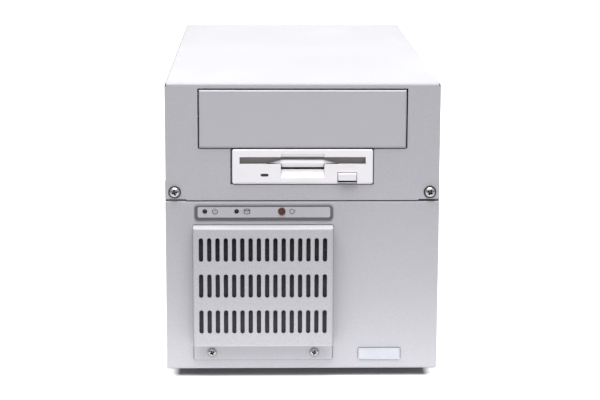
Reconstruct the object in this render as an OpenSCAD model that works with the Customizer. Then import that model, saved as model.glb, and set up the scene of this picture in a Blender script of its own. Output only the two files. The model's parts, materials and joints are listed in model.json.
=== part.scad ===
// Compact industrial computer: a steel tub with a bolted top cover, two front drive bays,
// a filtered front fan, a passive backplane with plug-in cards, and a rear power supply.
// Front faces -Y. Before stand() every module works from the front panel:
// x from the panel's middle, y back from its face, z up from its bottom edge.

/* [Case] */
// Width over the tub
case_w = 197.2; // [193:0.1:230]
// Height of the front panel, without the feet
case_h = 211.2; // [210:0.2:230]
// Depth from front panel to rear wall
case_d = 400; // [396:1:440]
// Thickness of the case's sheet steel
sheet = 1.2; // [1:0.1:1.4]
// Outside radius of the folded edges
edge_r = 2; // [1.8:0.1:3]
// Height of the seam between tub and cover on the front
seam_h = 125.8; // [125:0.2:126.6]
// Height of the seam between tub and cover on the sides
side_seam_h = 140.3; // [139.6:0.1:142]
// How far the cover's sides stand inside the tub's
cover_inset = 0.3; // [0.2:0.1:1]
// Width of a seam that shows
seam_gap = 0.5; // [0.2:0.1:0.6]
// Clearance between sheets that lap
lap_gap = 0.1; // [0.05:0.05:0.2]

/* [Cover screws] */
// Distance of each cover screw in from the side
cover_screw_x = 6.8; // [6.4:0.1:8]
// Height of the cover screws
cover_screw_z = 132.1; // [131.6:0.1:134.6]
// Radius of a cover screw's head
cover_screw_r = 4.25; // [3.5:0.05:4.5]

/* [Feet] */
// Height of the rubber feet
foot_h = 5; // [4:0.5:12]
// Radius of a foot at its sole
foot_r = 8.5; // [7:0.5:10]
// Distance of the feet from the sides
foot_side = 18; // [14:1:30]
// Distance of the feet from front and rear
foot_end = 30; // [20:1:60]

/* [Drive bays] */
// Width of the large bay's filler
bay_w = 147.9; // [147.4:0.1:149]
// Height of the large bay's filler
bay_h = 41.6; // [41:0.1:42.2]
// Strip of cover above the filler
bay_top = 5.2; // [4.6:0.1:5.6]
// Gap between a bezel and its opening
bay_gap = 1; // [0.4:0.1:1.1]
// Gap between the floppy drive's bezel and the sill below it
sill_gap = 0.35; // [0.3:0.05:0.6]
// How far the floppy drive sits to the right in its opening
floppy_shift = 0.35; // [0:0.05:0.35]
// Width of the floppy drive's bezel
floppy_w = 100.9; // [100.4:0.1:102.4]
// Height of the floppy drive's bezel
floppy_h = 25.2; // [25:0.1:25.6]
// Depth of the floppy drive behind its bezel
floppy_d = 145; // [140:1:150]
// How far the bezels stand proud of the cover
bezel_proud = 1; // [0.8:0.1:3]
// Height of the chamfer along a bezel's lower edge
bezel_chamfer = 1.4; // [0.6:0.1:2]
// Width of the bezel beside the disk slot
disk_slot_side = 5.25; // [5.2:0.05:6]
// Height of the disk slot
disk_slot_h = 5.3; // [4.8:0.1:5.5]
// Width of the finger notch in the floppy bezel
notch_w = 31.2; // [28:0.2:34]
// Sheet thickness of the drive cage
cage_t = 1; // [0.8:0.1:1.2]
// Depth of the drive cage
cage_d = 176; // [170:1:180]

/* [Floppy eject button] */
// Width of the eject button
eject_w = 13.1; // [11:0.1:14]
// Height of the eject button
eject_h = 5.3; // [5:0.1:6]
// Middle of the eject button
eject_x = 32; // [30:0.5:34]
// Travel of the eject button
eject_travel = 3; // [2:0.1:3.5]

/* [Air intake] */
// Middle of the intake, sideways
intake_x = -28.35; // [-32:0.05:-26]
// Middle of the intake, height
intake_z = 63.9; // [62.6:0.1:64.6]
// Width of the filter cover
filter_w = 100.7; // [96:0.1:104]
// Height of the filter cover's pan
filter_h = 87.8; // [86:0.2:88.4]
// How far the filter cover stands out
filter_stand = 11; // [9:0.5:14]
// Outside radius of the pan's bends
filter_edge_r = 1.5; // [1.5:0.1:2.5]
// Height of the flange below the pan
filter_flange_h = 12.6; // [12:0.2:14]
// Slots in a row
slot_cols = 16; // [10:1:16]
// Rows of slots
slot_rows = 3; // [1:1:3]
// Pitch of the slots in a row
slot_pitch = 5.93; // [5:0.01:5.95]
// Pitch of the rows
slot_row_pitch = 26.65; // [24:0.05:27]
// Width of a slot
slot_w = 3.1; // [2:0.1:3.4]
// Length of a slot
slot_h = 17.5; // [14:0.1:20]
// Distance between the two filter cover screws
filter_screw_pitch = 74.6; // [60:0.2:80]
// Side of the front fan
fan_side = 80; // [80:1:80]
// Depth of the front fan
fan_d = 25; // [20:1:26]
// Number of blades on each fan
fan_blades = 7; // [5:1:9]

/* [Indicators] */
// Width of the indicator plate
label_w = 99.7; // [96:0.1:102]
// Height of the indicator plate
label_h = 11.3; // [10:0.1:12]
// Thickness of the indicator plate
label_t = 0.5; // [0.4:0.1:0.8]
// Height of the indicator plate's middle
label_z = 117; // [116.6:0.1:117.6]
// Height of lamps and reset button
lamp_z = 118; // [117.1:0.1:118.6]
// Power lamp, sideways
power_lamp_x = -70.3; // [-72:0.1:-66]
// Disk lamp, sideways
disk_lamp_x = -47.4; // [-50:0.1:-44]
// Reset button, sideways
reset_x = -14.9; // [-18:0.1:-12]
// Radius of a lamp
lamp_r = 1.6; // [1.2:0.05:1.7]
// Radius of the reset button
reset_r = 2.45; // [2:0.05:2.8]
// Travel of the reset button
reset_travel = 1.2; // [0.5:0.1:1.2]
// Width of the bare name plate
plate_w = 30.6; // [28:0.1:36]
// Height of the bare name plate
plate_h = 8.6; // [7:0.1:10]
// Thickness of the bare name plate
plate_t = 0.8; // [0.5:0.1:1.2]

/* [Cards] */
// Number of card slots
card_slots = 8; // [6:1:8]
// Pitch of the card slots
card_pitch = 20.32; // [20:0.01:20.5]
// Length of a full card
card_len = 338; // [330:1:340]
// Height of a card with its edge contacts
card_h = 122; // [118:0.5:122]
// Thickness of the circuit boards
board_t = 1.6; // [1.4:0.1:1.8]
// Slot that holds the processor card, from the left
cpu_slot = 1; // [1:1:1]
// Slot that holds the drive controller card, from the left
io_slot = 5; // [5:1:5]
// Length of the drive controller card
io_len = 204; // [200:1:204]
// Depth of the recess around the card brackets
rear_recess = 12; // [11.8:0.1:14]
// Length of a card's bracket
bracket_h = 120; // [119:0.5:121]
// Thickness of a card's bracket
bracket_t = 0.9; // [0.8:0.05:1]

/* [Power supply] */
// Width of the power supply
psu_w = 150; // [148:1:154]
// Height of the power supply
psu_h = 65; // [64:0.5:66]
// Depth of the power supply
psu_d = 128; // [120:1:130]
// Side of the power supply's fan
psu_fan_side = 60; // [60:1:60]
// Depth of the power supply's fan
psu_fan_d = 20; // [15:1:22]
// Tilt of the power rocker to each side of level
rocker_tilt = 10; // [7:0.5:11]

/* [Hidden] */
$fn = 48;
eps = 0.5;           // overshoot of a cut
fit = 0.1;           // clearance round a screw or lamp
run_fit = 0.05;      // radial running clearance of a shaft

case_grey = [0.72, 0.72, 0.74];
plastic_grey = [0.71, 0.71, 0.73];
bezel_white = [0.93, 0.92, 0.9];
steel = [0.75, 0.76, 0.78];
nickel = [0.82, 0.82, 0.84];
black = [0.08, 0.08, 0.09];
green = [0.1, 0.35, 0.2];

half_w = case_w / 2;
inner_w = half_w - sheet;
cover_half = half_w - cover_inset;
cover_inner = cover_half - sheet;
lip_out = cover_inner - lap_gap;
lip_in = lip_out - sheet;
roof_z = case_h - sheet;
wall_top = roof_z - lap_gap;
front_top = seam_h - seam_gap / 2;
tub_top = side_seam_h - seam_gap / 2;
rail_z = side_seam_h + 9.3;
rail_w = 11;
tab_w = 15;
tab_y = sheet + lap_gap;
screw_x = half_w - cover_screw_x;

// Drive bays
filler_top = case_h - bay_top;
filler_bottom = filler_top - bay_h;
filler_z = (filler_top + filler_bottom) / 2;
floppy_top = filler_bottom - bay_gap - 0.05;
floppy_z = floppy_top - floppy_h / 2;
floppy_bottom = floppy_top - floppy_h;
cage_y = 4;
floppy_half = floppy_w / 2 + 0.35;
disk_half = 50.8;
cage_half = floppy_half + 0.2;
disk_slot_w = floppy_w - 2 * disk_slot_side;
bay_half = 73.4;
bay_floor = filler_bottom - 0.2;
bezel_back = 3;
floppy_back = bezel_back + floppy_d;
disk_slot_top = floppy_bottom + 19.6;
disk_slot_z = disk_slot_top - disk_slot_h / 2;
disk_slot_bottom = disk_slot_top - disk_slot_h;
flank_x = 25;
notch_bottom = floppy_bottom + 10.2;
flap_y = bezel_back + 1.4;
flap_z = disk_slot_top + 1.2;
flap_half = disk_slot_w / 2 - 0.2;
ear_x = disk_slot_w / 2 + 1.8;
flap_t = 1.1;
flap_pin_r = 0.8;
bulge_r = 3;
bulge_z = notch_bottom + 1.3 + bulge_r;
eject_bottom = floppy_bottom + 2.9;
pill_x = -27.3;
pill_z = floppy_bottom + 6.5;
hdd_z = bay_floor + 8.4;
hdd_h = 25.4;
hdd_y = 20;
hdd_d = 146;
hdd_back = hdd_y + hdd_d;
hanger_t = 1.2;
hanger_in = disk_half + fit / 2;
hanger_out = bay_half - fit;
screw_ys = [31, 101];
m3 = 1.4;

// Intake and fans
fan_y = sheet + fit / 2;
fan_bore_r = fan_side / 2 - 1.75;
fan_hole = fan_side / 2 - 4.25;
filter_x0 = intake_x - filter_w / 2;
filter_x1 = intake_x + filter_w / 2;
filter_z0 = intake_z - filter_h / 2;
filter_z1 = intake_z + filter_h / 2;
filter_screw_z = filter_z0 - filter_flange_h + 5.6;
slot_z = intake_z + 1.3;
hook_x = 30;
hook_w = 10;
board_y = 7.4;

// Cards
recess_y = case_d - rear_recess;
slot_wall_y = recess_y - sheet;
field_half = card_slots * card_pitch / 2 + 4.7;
ledge_z = 128;
bracket_y = slot_wall_y - 0.05;
card_back = bracket_y - bracket_t - 0.5;
backplane_z = 6.2;
connector_h = 13.5;
connector_z = backplane_z + board_t;
connector_len = 138.4;
connector_y = card_back - 31 - connector_len;
card_low = connector_z + 5;
card_top = card_low + card_h;
card_floor = connector_z + connector_h + 0.7;
backplane_half = 83;
backplane_y0 = connector_y - 50;
backplane_y1 = card_back - 12;
board_shift = 5;      // from the middle of a bracket to its board
standoff_xs = [-backplane_half + 4, -board_shift, backplane_half - 4];
standoff_ys = [backplane_y0 + 6, connector_y + connector_len + 6.5];
card_front = card_back - card_len;
bar_d = 16;

// Power supply
psu_y1 = case_d - sheet - fit;
psu_y0 = psu_y1 - psu_d;
bar_y = psu_y0 - bar_d - 18.7;
psu_t = 1;
psu_z0 = wall_top - 3.9 - psu_h;
psu_z = psu_z0 + psu_h / 2;
psu_fan_x = -35;
psu_bore_r = psu_fan_side / 2 - 1.4;
psu_hole = psu_fan_side / 2 - 5;
inlet_x = 25;
switch_x = 52;
rocker_y = psu_y1 - 1;
rocker_r = 8.9;
rocker_valley = 3;
rocker_half = 5.7;
trunnion_r = 1.5;
rocker_face = sqrt(pow(rocker_r, 2) - pow(rocker_valley * cos(rocker_tilt), 2))
  - rocker_valley * sin(rocker_tilt);
rocker_reach = rocker_y + rocker_valley * cos(rocker_tilt) + rocker_face * sin(2 * rocker_tilt) - case_d;

function slot_x(i) = (i - (card_slots - 1) / 2) * card_pitch;
function card_x(i) = slot_x(i) - board_shift;
cpu_x = card_x(cpu_slot);
io_x = card_x(io_slot);
comp_x = board_t / 2;

// Shapes that many pieces use

// Box between two corners
module block(lo, hi) {
  translate(lo) cube(hi - lo);
}

// Flat outline in x and z, drawn out along y
module along_y(y0, y1) {
  translate([0, y1, 0]) rotate([90, 0, 0]) linear_extrude(y1 - y0) children();
}

// Flat outline in y and z, drawn out along x
module along_x(x0, x1) {
  translate([x0, 0, 0]) rotate([90, 0, 90]) linear_extrude(x1 - x0) children();
}

// Round bar along y
module rod_y(r, y0, y1) {
  translate([0, y0, 0]) rotate([-90, 0, 0]) cylinder(r = r, h = y1 - y0);
}

// Round bar along x
module rod_x(r, x0, x1) {
  translate([x0, 0, 0]) rotate([0, 90, 0]) cylinder(r = r, h = x1 - x0);
}

// Rectangle with the corners named in at rounded, such as [[-1, -1], [1, -1]]
module rounded(lo, hi, r, at = [[-1, -1], [1, -1], [-1, 1], [1, 1]]) {
  difference() {
    translate(lo) square(hi - lo);
    for (c = at) {
      corner = [c[0] < 0 ? lo[0] : hi[0], c[1] < 0 ? lo[1] : hi[1]];
      centre = corner - r * c;
      difference() {
        translate(centre + [c[0] < 0 ? -r - eps : 0, c[1] < 0 ? -r - eps : 0]) square(r + eps);
        translate(centre) circle(r);
      }
    }
  }
}

// Slot with round ends, standing upright
module upright_slot(w, h) {
  square([w, h - w], center = true);
  for (s = [-1, 1]) translate([0, s * (h - w) / 2]) circle(w / 2);
}

// Pan-head screw with a cross recess: head towards -y, its underside at y = 0
module pan_screw(head_r, head_h, shank_r, len) {
  dome_r = (head_r * head_r + head_h * head_h) / (2 * head_h) * 1.25;
  difference() {
    rotate([90, 0, 0]) rotate_extrude() intersection() {
      square([head_r, head_h]);
      translate([0, head_h - dome_r]) circle(dome_r);
    }
    for (a = [0, 90]) rotate([0, a, 0]) block([-head_r * 0.55, -head_h - eps, -head_r * 0.12],
      [head_r * 0.55, -head_h * 0.35, head_r * 0.12]);
  }
  rod_y(shank_r, -head_h * 0.2, len);
}

// Plate in x and z whose front edges are cut at 45 degrees
module bevel_plate(w, h, y0, y1, bevel) {
  intersection() {
    along_x(-w / 2, w / 2) polygon([[y0, -h / 2 + bevel], [y0 + bevel, -h / 2], [y1, -h / 2],
      [y1, h / 2], [y0 + bevel, h / 2], [y0, h / 2 - bevel]]);
    linear_extrude(h, center = true) polygon([[-w / 2 + bevel, y0], [w / 2 - bevel, y0],
      [w / 2, y0 + bevel], [w / 2, y1], [-w / 2, y1], [-w / 2, y0 + bevel]]);
  }
}

// Four places at the corners of a square
module corners(pitch) {
  for (x = [-1, 1], z = [-1, 1]) translate([x * pitch / 2, 0, z * pitch / 2]) children();
}

// Case

// Block with the folded edges of tub or cover, shrunk on all sides but the open one
module folded(half, y0, y1, z0, z1, r, up) {
  intersection() {
    along_y(y0, y1) rounded([-half, z0], [half, z1], r, [[-1, up], [1, up]]);
    along_x(-half, half) rounded([y0, z0], [y1, z1], r, [[-1, up]]);
  }
}

module fan_holes() {
  translate([intake_x, 0, intake_z]) {
    rod_y(fan_hole + 2, -eps, sheet + eps);
    corners(fan_side - 8.5) rod_y(2.2, -eps, sheet + eps);
  }
}

module rear_wall() {
  difference() {
    union() {
      block([-half_w + edge_r / 2, case_d - sheet, sheet / 2], [half_w - edge_r / 2, case_d, tub_top]);
      along_y(case_d - sheet, case_d) rounded([-lip_out, tub_top - eps], [lip_out, wall_top], edge_r - sheet,
        [[-1, 1], [1, 1]]);
      block([-lip_in, case_d - rear_recess, wall_top - sheet], [lip_in, case_d - eps, wall_top]);
      block([-field_half - sheet, slot_wall_y, sheet / 2], [field_half + sheet, case_d, ledge_z]);
      block([-field_half, bracket_y - bracket_t - sheet - fit, sheet / 2],
        [field_half, bracket_y - bracket_t - fit, card_low - 3]);
    }
    block([-field_half, recess_y, sheet], [field_half, case_d + eps, ledge_z - sheet]);
    for (i = [0 : card_slots - 1]) translate([slot_x(i), 0, 0]) {
      block([-6.35, slot_wall_y - eps, 16], [6.35, recess_y + eps, 120]);
      translate([0, recess_y + 5, ledge_z - 6]) cylinder(r = m3 + fit, h = 7);
    }
    along_y(case_d - sheet - eps, case_d + eps) rounded([-psu_w / 2 + 10.5, psu_z0 + 2.5],
      [psu_w / 2 - 10.5, psu_z0 + psu_h - 2.5], 2);
    translate([0, case_d, psu_z]) psu_screw_places() rod_y(m3 + fit, -sheet - eps, eps);
  }
}

module chassis_tub() {
  color(case_grey) difference() {
    union() {
      difference() {
        folded(half_w, 0, case_d, 0, case_h, edge_r, -1);
        folded(inner_w, sheet, case_d - sheet, sheet, case_h + eps, edge_r - sheet, -1);
        block([-half_w - eps, -eps, front_top], [half_w + eps, tab_y, case_h + eps]);
        block([-half_w - eps, -eps, tub_top], [half_w + eps, case_d + eps, case_h + eps]);
        block([-half_w - eps, case_d - sheet, edge_r], [half_w + eps, case_d + eps, case_h + eps]);
      }
      rear_wall();
      // Return flange of the lower front
      block([-inner_w, sheet / 2, front_top - sheet], [inner_w, 12, front_top]);
      for (s = [0, 1]) mirror([s, 0, 0]) {
        // Tab that the cover screw bites in
        block([inner_w - tab_w, sheet / 2, front_top - 12], [inner_w, tab_y + sheet, front_top]);
        block([inner_w - tab_w, tab_y, front_top - 12], [inner_w, tab_y + sheet, tub_top]);
        // Joggled lip behind the cover's side, turned in to a rail
        block([lip_in, 8, side_seam_h - 9], [inner_w + sheet / 2, case_d - eps, tub_top]);
        block([lip_in, 8, side_seam_h - 9], [lip_out, case_d - eps, rail_z]);
        block([lip_out - rail_w, 8, rail_z - sheet], [lip_out, case_d - sheet - 20, rail_z]);
      }
    }
    // Rolled edge below the front seam
    along_x(-half_w - eps, half_w + eps) difference() {
      translate([-eps, front_top - sheet]) square([sheet + eps, sheet + eps]);
      translate([sheet, front_top - sheet]) circle(sheet);
    }
    fan_holes();
    for (x = [power_lamp_x, disk_lamp_x]) translate([x, 0, lamp_z]) rod_y(lamp_r + fit, -eps, sheet + eps);
    translate([reset_x, 0, lamp_z]) rod_y(reset_r + 2 * fit, -eps, sheet + eps);
    for (s = [-1, 1]) {
      translate([s * screw_x, 0, cover_screw_z]) rod_y(2 + fit, 0, 9);
      translate([intake_x + s * filter_screw_pitch / 2, 0, filter_screw_z])
        rod_y(m3 + fit, -eps, sheet + eps);
      translate([intake_x + s * hook_x, 0, filter_z1 - sheet / 2])
        cube([hook_w + 0.6, 4 * sheet, sheet + 0.4], center = true);
      for (y = [foot_end, case_d - foot_end]) translate([s * (half_w - foot_side), y, -eps])
        cylinder(r = 2 + fit, h = sheet + 2 * eps);
      for (y = cage_screw_ys) translate([s * (lip_in - 5), y, rail_z - sheet - eps])
        cylinder(r = m3 + fit, h = 3);
    }
  }
}

// Broken edge along the lower side of an opening
module sill_bevel(half, z) {
  deep = 0.45;
  along_x(-half, half) polygon([[-eps, z + eps], [-eps, z - deep - eps], [deep + eps, z + eps]]);
}

module top_cover() {
  open_half = bay_w / 2 + bay_gap;
  color(case_grey) difference() {
    union() {
      difference() {
        folded(cover_half, 0, case_d, 0, case_h, edge_r, 1);
        folded(cover_inner, sheet, case_d + eps, -eps, roof_z, edge_r - sheet, 1);
        block([-half_w, -eps, -eps], [half_w, case_d + eps, seam_h + seam_gap / 2]);
        block([-half_w, sheet, -eps], [half_w, case_d + eps, side_seam_h + seam_gap / 2]);
      }
      // Tongues that hook under the rear wall's flange
      for (x = [-60, 60]) translate([x, 0, 0]) {
        block([-9, recess_y - 10, roof_z - 2 * sheet - 2 * lap_gap], [9, recess_y - 2, roof_z + eps]);
        block([-9, recess_y - 10, roof_z - 3 * sheet - 2 * lap_gap],
          [9, recess_y + 8, roof_z - 2 * sheet - 2 * lap_gap]);
      }
    }
    // Openings for the large bay and the floppy drive, with no web between them
    block([-open_half, -eps, filler_bottom - bay_gap / 2], [open_half, sheet + eps, filler_top + bay_gap]);
    block([-floppy_w / 2 - bay_gap - floppy_shift, -eps, floppy_bottom - sill_gap],
      [floppy_w / 2 + bay_gap - floppy_shift, sheet + eps, floppy_top + 2 * bay_gap]);
    sill_bevel(open_half, filler_bottom - bay_gap / 2);
    translate([-floppy_shift, 0, 0]) sill_bevel(floppy_w / 2 + bay_gap, floppy_bottom - sill_gap);
    for (s = [0, 1]) mirror([s, 0, 0]) {
      translate([screw_x, 0, cover_screw_z]) rod_y(2 + fit, -eps, sheet + eps);
      // Bend relief at the top corner, and the ear's raised end
      block([cover_half - sheet, -eps, case_h - 2.6], [half_w, sheet + fit, case_h + eps]);
      block([half_w - 15, -eps, seam_h], [half_w, sheet + eps, seam_h + 1.1]);
    }
  }
}

module cover_screws() {
  color(nickel) for (s = [-1, 1]) translate([s * screw_x, 0, cover_screw_z]) {
    pan_screw(cover_screw_r, 2.8, 2, 8.5);
    difference() {
      rod_y(cover_screw_r + 0.4, -0.5, 0);
      rod_y(cover_screw_r - 1, -0.6, 0.1);
    }
  }
}

module foot_places() {
  for (x = [-1, 1], y = [foot_end, case_d - foot_end]) translate([x * (half_w - foot_side), y, 0]) children();
}

module rubber_feet() {
  color(black) foot_places() difference() {
    translate([0, 0, -foot_h]) rotate_extrude() polygon([[0, 0], [foot_r, 0], [foot_r + 1.5, foot_h],
      [0, foot_h]]);
    translate([0, 0, -foot_h - eps]) cylinder(r = 4.2, h = foot_h + eps - 2);
    translate([0, 0, -foot_h]) cylinder(r = 2 + fit, h = foot_h + eps);
  }
}

module feet_screws() {
  color(steel) foot_places() translate([0, 0, -2]) rotate([90, 0, 0]) pan_screw(3.8, 1.9, 2, 6);
}

// Air intake

// Solid with the outline of the filter cover's pan, inset by t
module pan_solid(t, r) {
  intersection() {
    along_x(filter_x0 + t, filter_x1 - t) rounded([t - filter_stand, filter_z0 + t],
      [t > 0 ? eps : 0, filter_z1 - t], r, [[-1, -1], [-1, 1]]);
    linear_extrude(case_h) rounded([filter_x0 + t, t - filter_stand],
      [filter_x1 - t, t > 0 ? eps : 0], r, [[-1, -1], [1, -1]]);
  }
}

module filter_cover() {
  color(case_grey) difference() {
    union() {
      difference() {
        pan_solid(0, filter_edge_r);
        pan_solid(sheet, filter_edge_r - sheet);
      }
      block([filter_x0, -sheet, filter_z0 - filter_flange_h], [filter_x1, 0, filter_z0 + sheet]);
      for (s = [-1, 1]) translate([intake_x + s * hook_x, 0, filter_z1]) {
        block([-hook_w / 2, -eps, -sheet], [hook_w / 2, 2 * sheet + fit, 0]);
        block([-hook_w / 2, sheet + fit, -sheet], [hook_w / 2, 2 * sheet + fit, 2]);
      }
    }
    for (s = [-1, 1]) translate([intake_x + s * filter_screw_pitch / 2, 0, filter_screw_z])
      rod_y(m3 + fit, -sheet - eps, eps);
    for (row = [0 : slot_rows - 1], col = [0 : slot_cols - 1])
      translate([intake_x - 0.1 + (col - (slot_cols - 1) / 2) * slot_pitch, 0,
        slot_z + (row - (slot_rows - 1) / 2) * slot_row_pitch])
        along_y(-filter_stand - eps, sheet - filter_stand + eps) upright_slot(slot_w, slot_h);
  }
}

module filter_cover_screws() {
  color(nickel) for (s = [-1, 1])
    translate([intake_x + s * filter_screw_pitch / 2, -sheet, filter_screw_z]) pan_screw(3.2, 2.1, m3, 7);
}

module dust_filter() {
  inset = sheet + 0.3;
  color([0.15, 0.15, 0.16]) block([filter_x0 + inset, inset - filter_stand, filter_z0 + inset],
    [filter_x1 - inset, -1.3, filter_z1 - inset]);
}

// Fan frame with its front at y = 0: two square flanges, a barrel, struts and a bearing boss
module fan_frame(side, depth, bore_r, hole_pitch) {
  hub_r = side * 0.21;
  difference() {
    union() {
      difference() {
        union() {
          along_y(0, 4) rounded([-side / 2, -side / 2], [side / 2, side / 2], 4);
          along_y(depth - 4, depth) rounded([-side / 2, -side / 2], [side / 2, side / 2], 4);
          rod_y(bore_r + 1.3, 0, depth);
        }
        rod_y(bore_r, -eps, depth + eps);
        corners(hole_pitch) rod_y(m3 + 0.7, -eps, depth + eps);
      }
      rod_y(hub_r, depth - 3, depth);
      rod_y(4, depth - 7, depth);
      for (a = [20 : 90 : 290]) rotate([0, a, 0])
        block([hub_r - 2, depth - 3, -1.5], [bore_r + 0.6, depth, 1.5]);
    }
    rod_y(1.5 + run_fit, depth - 8, depth - 1);
  }
}

// Outline of one blade, swept back towards its tip
function blade(r0, r1, steps) = concat(
  [for (i = [0 : steps]) let (r = r0 + (r1 - r0) * i / steps, a = 26 * i / steps) r * [cos(a), sin(a)]],
  [for (i = [steps : -1 : 0]) let (r = r0 + (r1 - r0) * i / steps, a = 26 * i / steps + 95 / r)
    r * [cos(a), sin(a)]]);

module fan_rotor(side, depth, bore_r) {
  hub_r = side * 0.21 - 0.5;
  height = depth - 8;
  difference() {
    rod_y(hub_r, 2, depth - 7.5);
    rod_y(hub_r - 3, 1, 2.6);
  }
  rod_y(1.5, depth - 8, depth - 1.4);
  translate([0, 3, 0]) rotate([-90, 0, 0])
    linear_extrude(height, twist = -1700 / side, slices = 5, segments = 1)
    for (i = [0 : fan_blades - 1]) rotate(i * 360 / fan_blades) polygon(blade(hub_r - 1, bore_r - 0.9, 3));
}

// Wire guard whose legs and eyes lie on y = 0, with the rings outside them
module fan_guard(bore_r, hole_pitch, rings) {
  wire = 0.8;
  leg = 0.7;
  eye_r = 2.9;
  reach = hole_pitch / sqrt(2) - eye_r + 0.25;
  for (i = [1 : rings]) rotate([90, 0, 0]) rotate_extrude()
    translate([bore_r * i / rings - 2, 2 * wire - 0.15]) circle(wire);
  for (a = [45, 135]) rotate([0, a, 0]) translate([0, -wire, 0]) rod_x(leg, -reach, reach);
  corners(hole_pitch) rotate([90, 0, 0]) rotate_extrude() translate([eye_r, wire]) circle(wire);
}

module at_front_fan() {
  translate([intake_x, fan_y, intake_z]) children();
}

module front_fan_frame() {
  color(black) at_front_fan() fan_frame(fan_side, fan_d, fan_bore_r, fan_side - 8.5);
}

module front_fan_rotor() {
  color([0.12, 0.12, 0.13]) at_front_fan() fan_rotor(fan_side, fan_d, fan_bore_r);
}

module front_fan_guard() {
  color(steel) at_front_fan() translate([0, fan_d, 0]) mirror([0, 1, 0])
    fan_guard(fan_bore_r, fan_side - 8.5, 4);
}

module front_fan_screws() {
  color(steel) translate([intake_x, 0, intake_z]) corners(fan_side - 8.5) pan_screw(3.2, 1.2, m3, 9);
}

// Indicators

module indicator_plate() {
  color([0.7, 0.7, 0.72]) translate([intake_x + 0.5, 0, 0]) difference() {
    along_y(-label_t, 0) rounded([-label_w / 2, label_z - label_h / 2],
      [label_w / 2, label_z + label_h / 2], 2);
    for (x = [power_lamp_x, disk_lamp_x]) translate([x - intake_x - 0.5, 0, lamp_z])
      rod_y(lamp_r + fit, -1, 1);
    translate([reset_x - intake_x - 0.5, 0, lamp_z]) rod_y(reset_r + 2 * fit, -1, 1);
  }
}

module indicator_lamps() {
  color([0.2, 0.22, 0.2]) for (x = [power_lamp_x, disk_lamp_x]) translate([x, 0, lamp_z]) {
    translate([0, lamp_r - label_t, 0]) intersection() {
      sphere(lamp_r);
      rod_y(lamp_r, -lamp_r, 0);
    }
    rod_y(lamp_r, lamp_r - label_t, board_y - 0.5);
    rod_y(lamp_r + 0.4, board_y - 1, board_y);
  }
}

module indicator_board() {
  color(green) {
    block([power_lamp_x - 4, board_y, lamp_z - 5.4], [reset_x + 7, board_y + board_t, lamp_z + 4]);
    for (x = [power_lamp_x + 11, reset_x - 8]) translate([x, 0, lamp_z]) rod_y(2.5, sheet, board_y + 1);
  }
}

module reset_button() {
  color([0.37, 0.23, 0.2]) translate([reset_x, 0, lamp_z]) {
    rod_y(reset_r, -label_t - 0.7, sheet + 1);
    rod_y(reset_r + 0.9, sheet + 0.3, sheet + 1.3);
    rod_y(1.5, sheet + 1, board_y - 1.8 - reset_travel - fit);
  }
}

module reset_switch() {
  color(black) translate([reset_x, 0, lamp_z]) {
    block([-3, board_y - 1.8, -3], [3, board_y, 3]);
    for (x = [-2.4, 2.4]) block([x, board_y - 1, 3], [x + 0.5, board_y, 3.6]);
  }
}

module name_plate() {
  color([0.86, 0.87, 0.9]) translate([half_w - 42.1, 0, 11.45])
    bevel_plate(plate_w, plate_h, -plate_t, 0, 0.3);
}

module speaker() {
  color(black) translate([half_w - 36, sheet, intake_z]) difference() {
    union() {
      rod_y(20, 0, 2.5);
      translate([0, 2, 0]) rotate([-90, 0, 0]) rotate_extrude() polygon([[0, 0], [19, 0], [11, 6], [0, 6]]);
      rod_y(10, 7, 14);
    }
    rod_y(16, -eps, 0.8);
  }
}

// Drive bays

// Cut along the lower front edge of a bezel
module chin(half, z) {
  deep = bezel_chamfer / 2;
  along_x(-half - eps, half + eps) polygon([[-bezel_proud - eps, z - eps], [deep - bezel_proud, z - eps],
    [deep - bezel_proud, z], [-bezel_proud, z + bezel_chamfer], [-bezel_proud - eps, z + bezel_chamfer]]);
}

module bay_filler() {
  color(plastic_grey) {
    difference() {
      translate([0, 0, filler_z]) bevel_plate(bay_w, bay_h, -bezel_proud, cage_y - fit, 0.8);
      chin(bay_w / 2, filler_bottom);
      block([-bay_w / 2 + 2.2, -bezel_proud + 2.4, filler_bottom + 2.2],
        [bay_w / 2 - 2.2, cage_y + eps, filler_top - 2.2]);
    }
    for (s = [0, 1]) mirror([s, 0, 0]) {
      block([bay_half - 4.4, 0, filler_z - 12], [bay_half - fit, 4.2, filler_z + 12]);
      block([bay_half - 1.4, 4, filler_z - 12], [bay_half - fit, 16, filler_z + 12]);
      block([bay_half - 2.2, 12, filler_z - 12], [bay_half - fit, 14, filler_z + 12]);
    }
  }
}

cage_screw_ys = [24, 150];
cage_low = min(rail_z, floppy_bottom + fit - cage_t);

module cage_outline() {
  for (s = [0, 1]) mirror([s, 0]) {
    translate([bay_half, bay_floor - cage_t]) square([cage_t, filler_top - bay_floor - 1]);
    translate([cage_half, bay_floor - cage_t]) square([bay_half - cage_half + cage_t, cage_t]);
    translate([cage_half, cage_low]) square([cage_t, bay_floor - cage_t - cage_low + eps]);
    translate([cage_half - 7, floppy_bottom + fit - cage_t]) square([7 + cage_t, cage_t]);
    translate([cage_half, rail_z]) square([lip_in - cage_half, cage_t]);
  }
}

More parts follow.
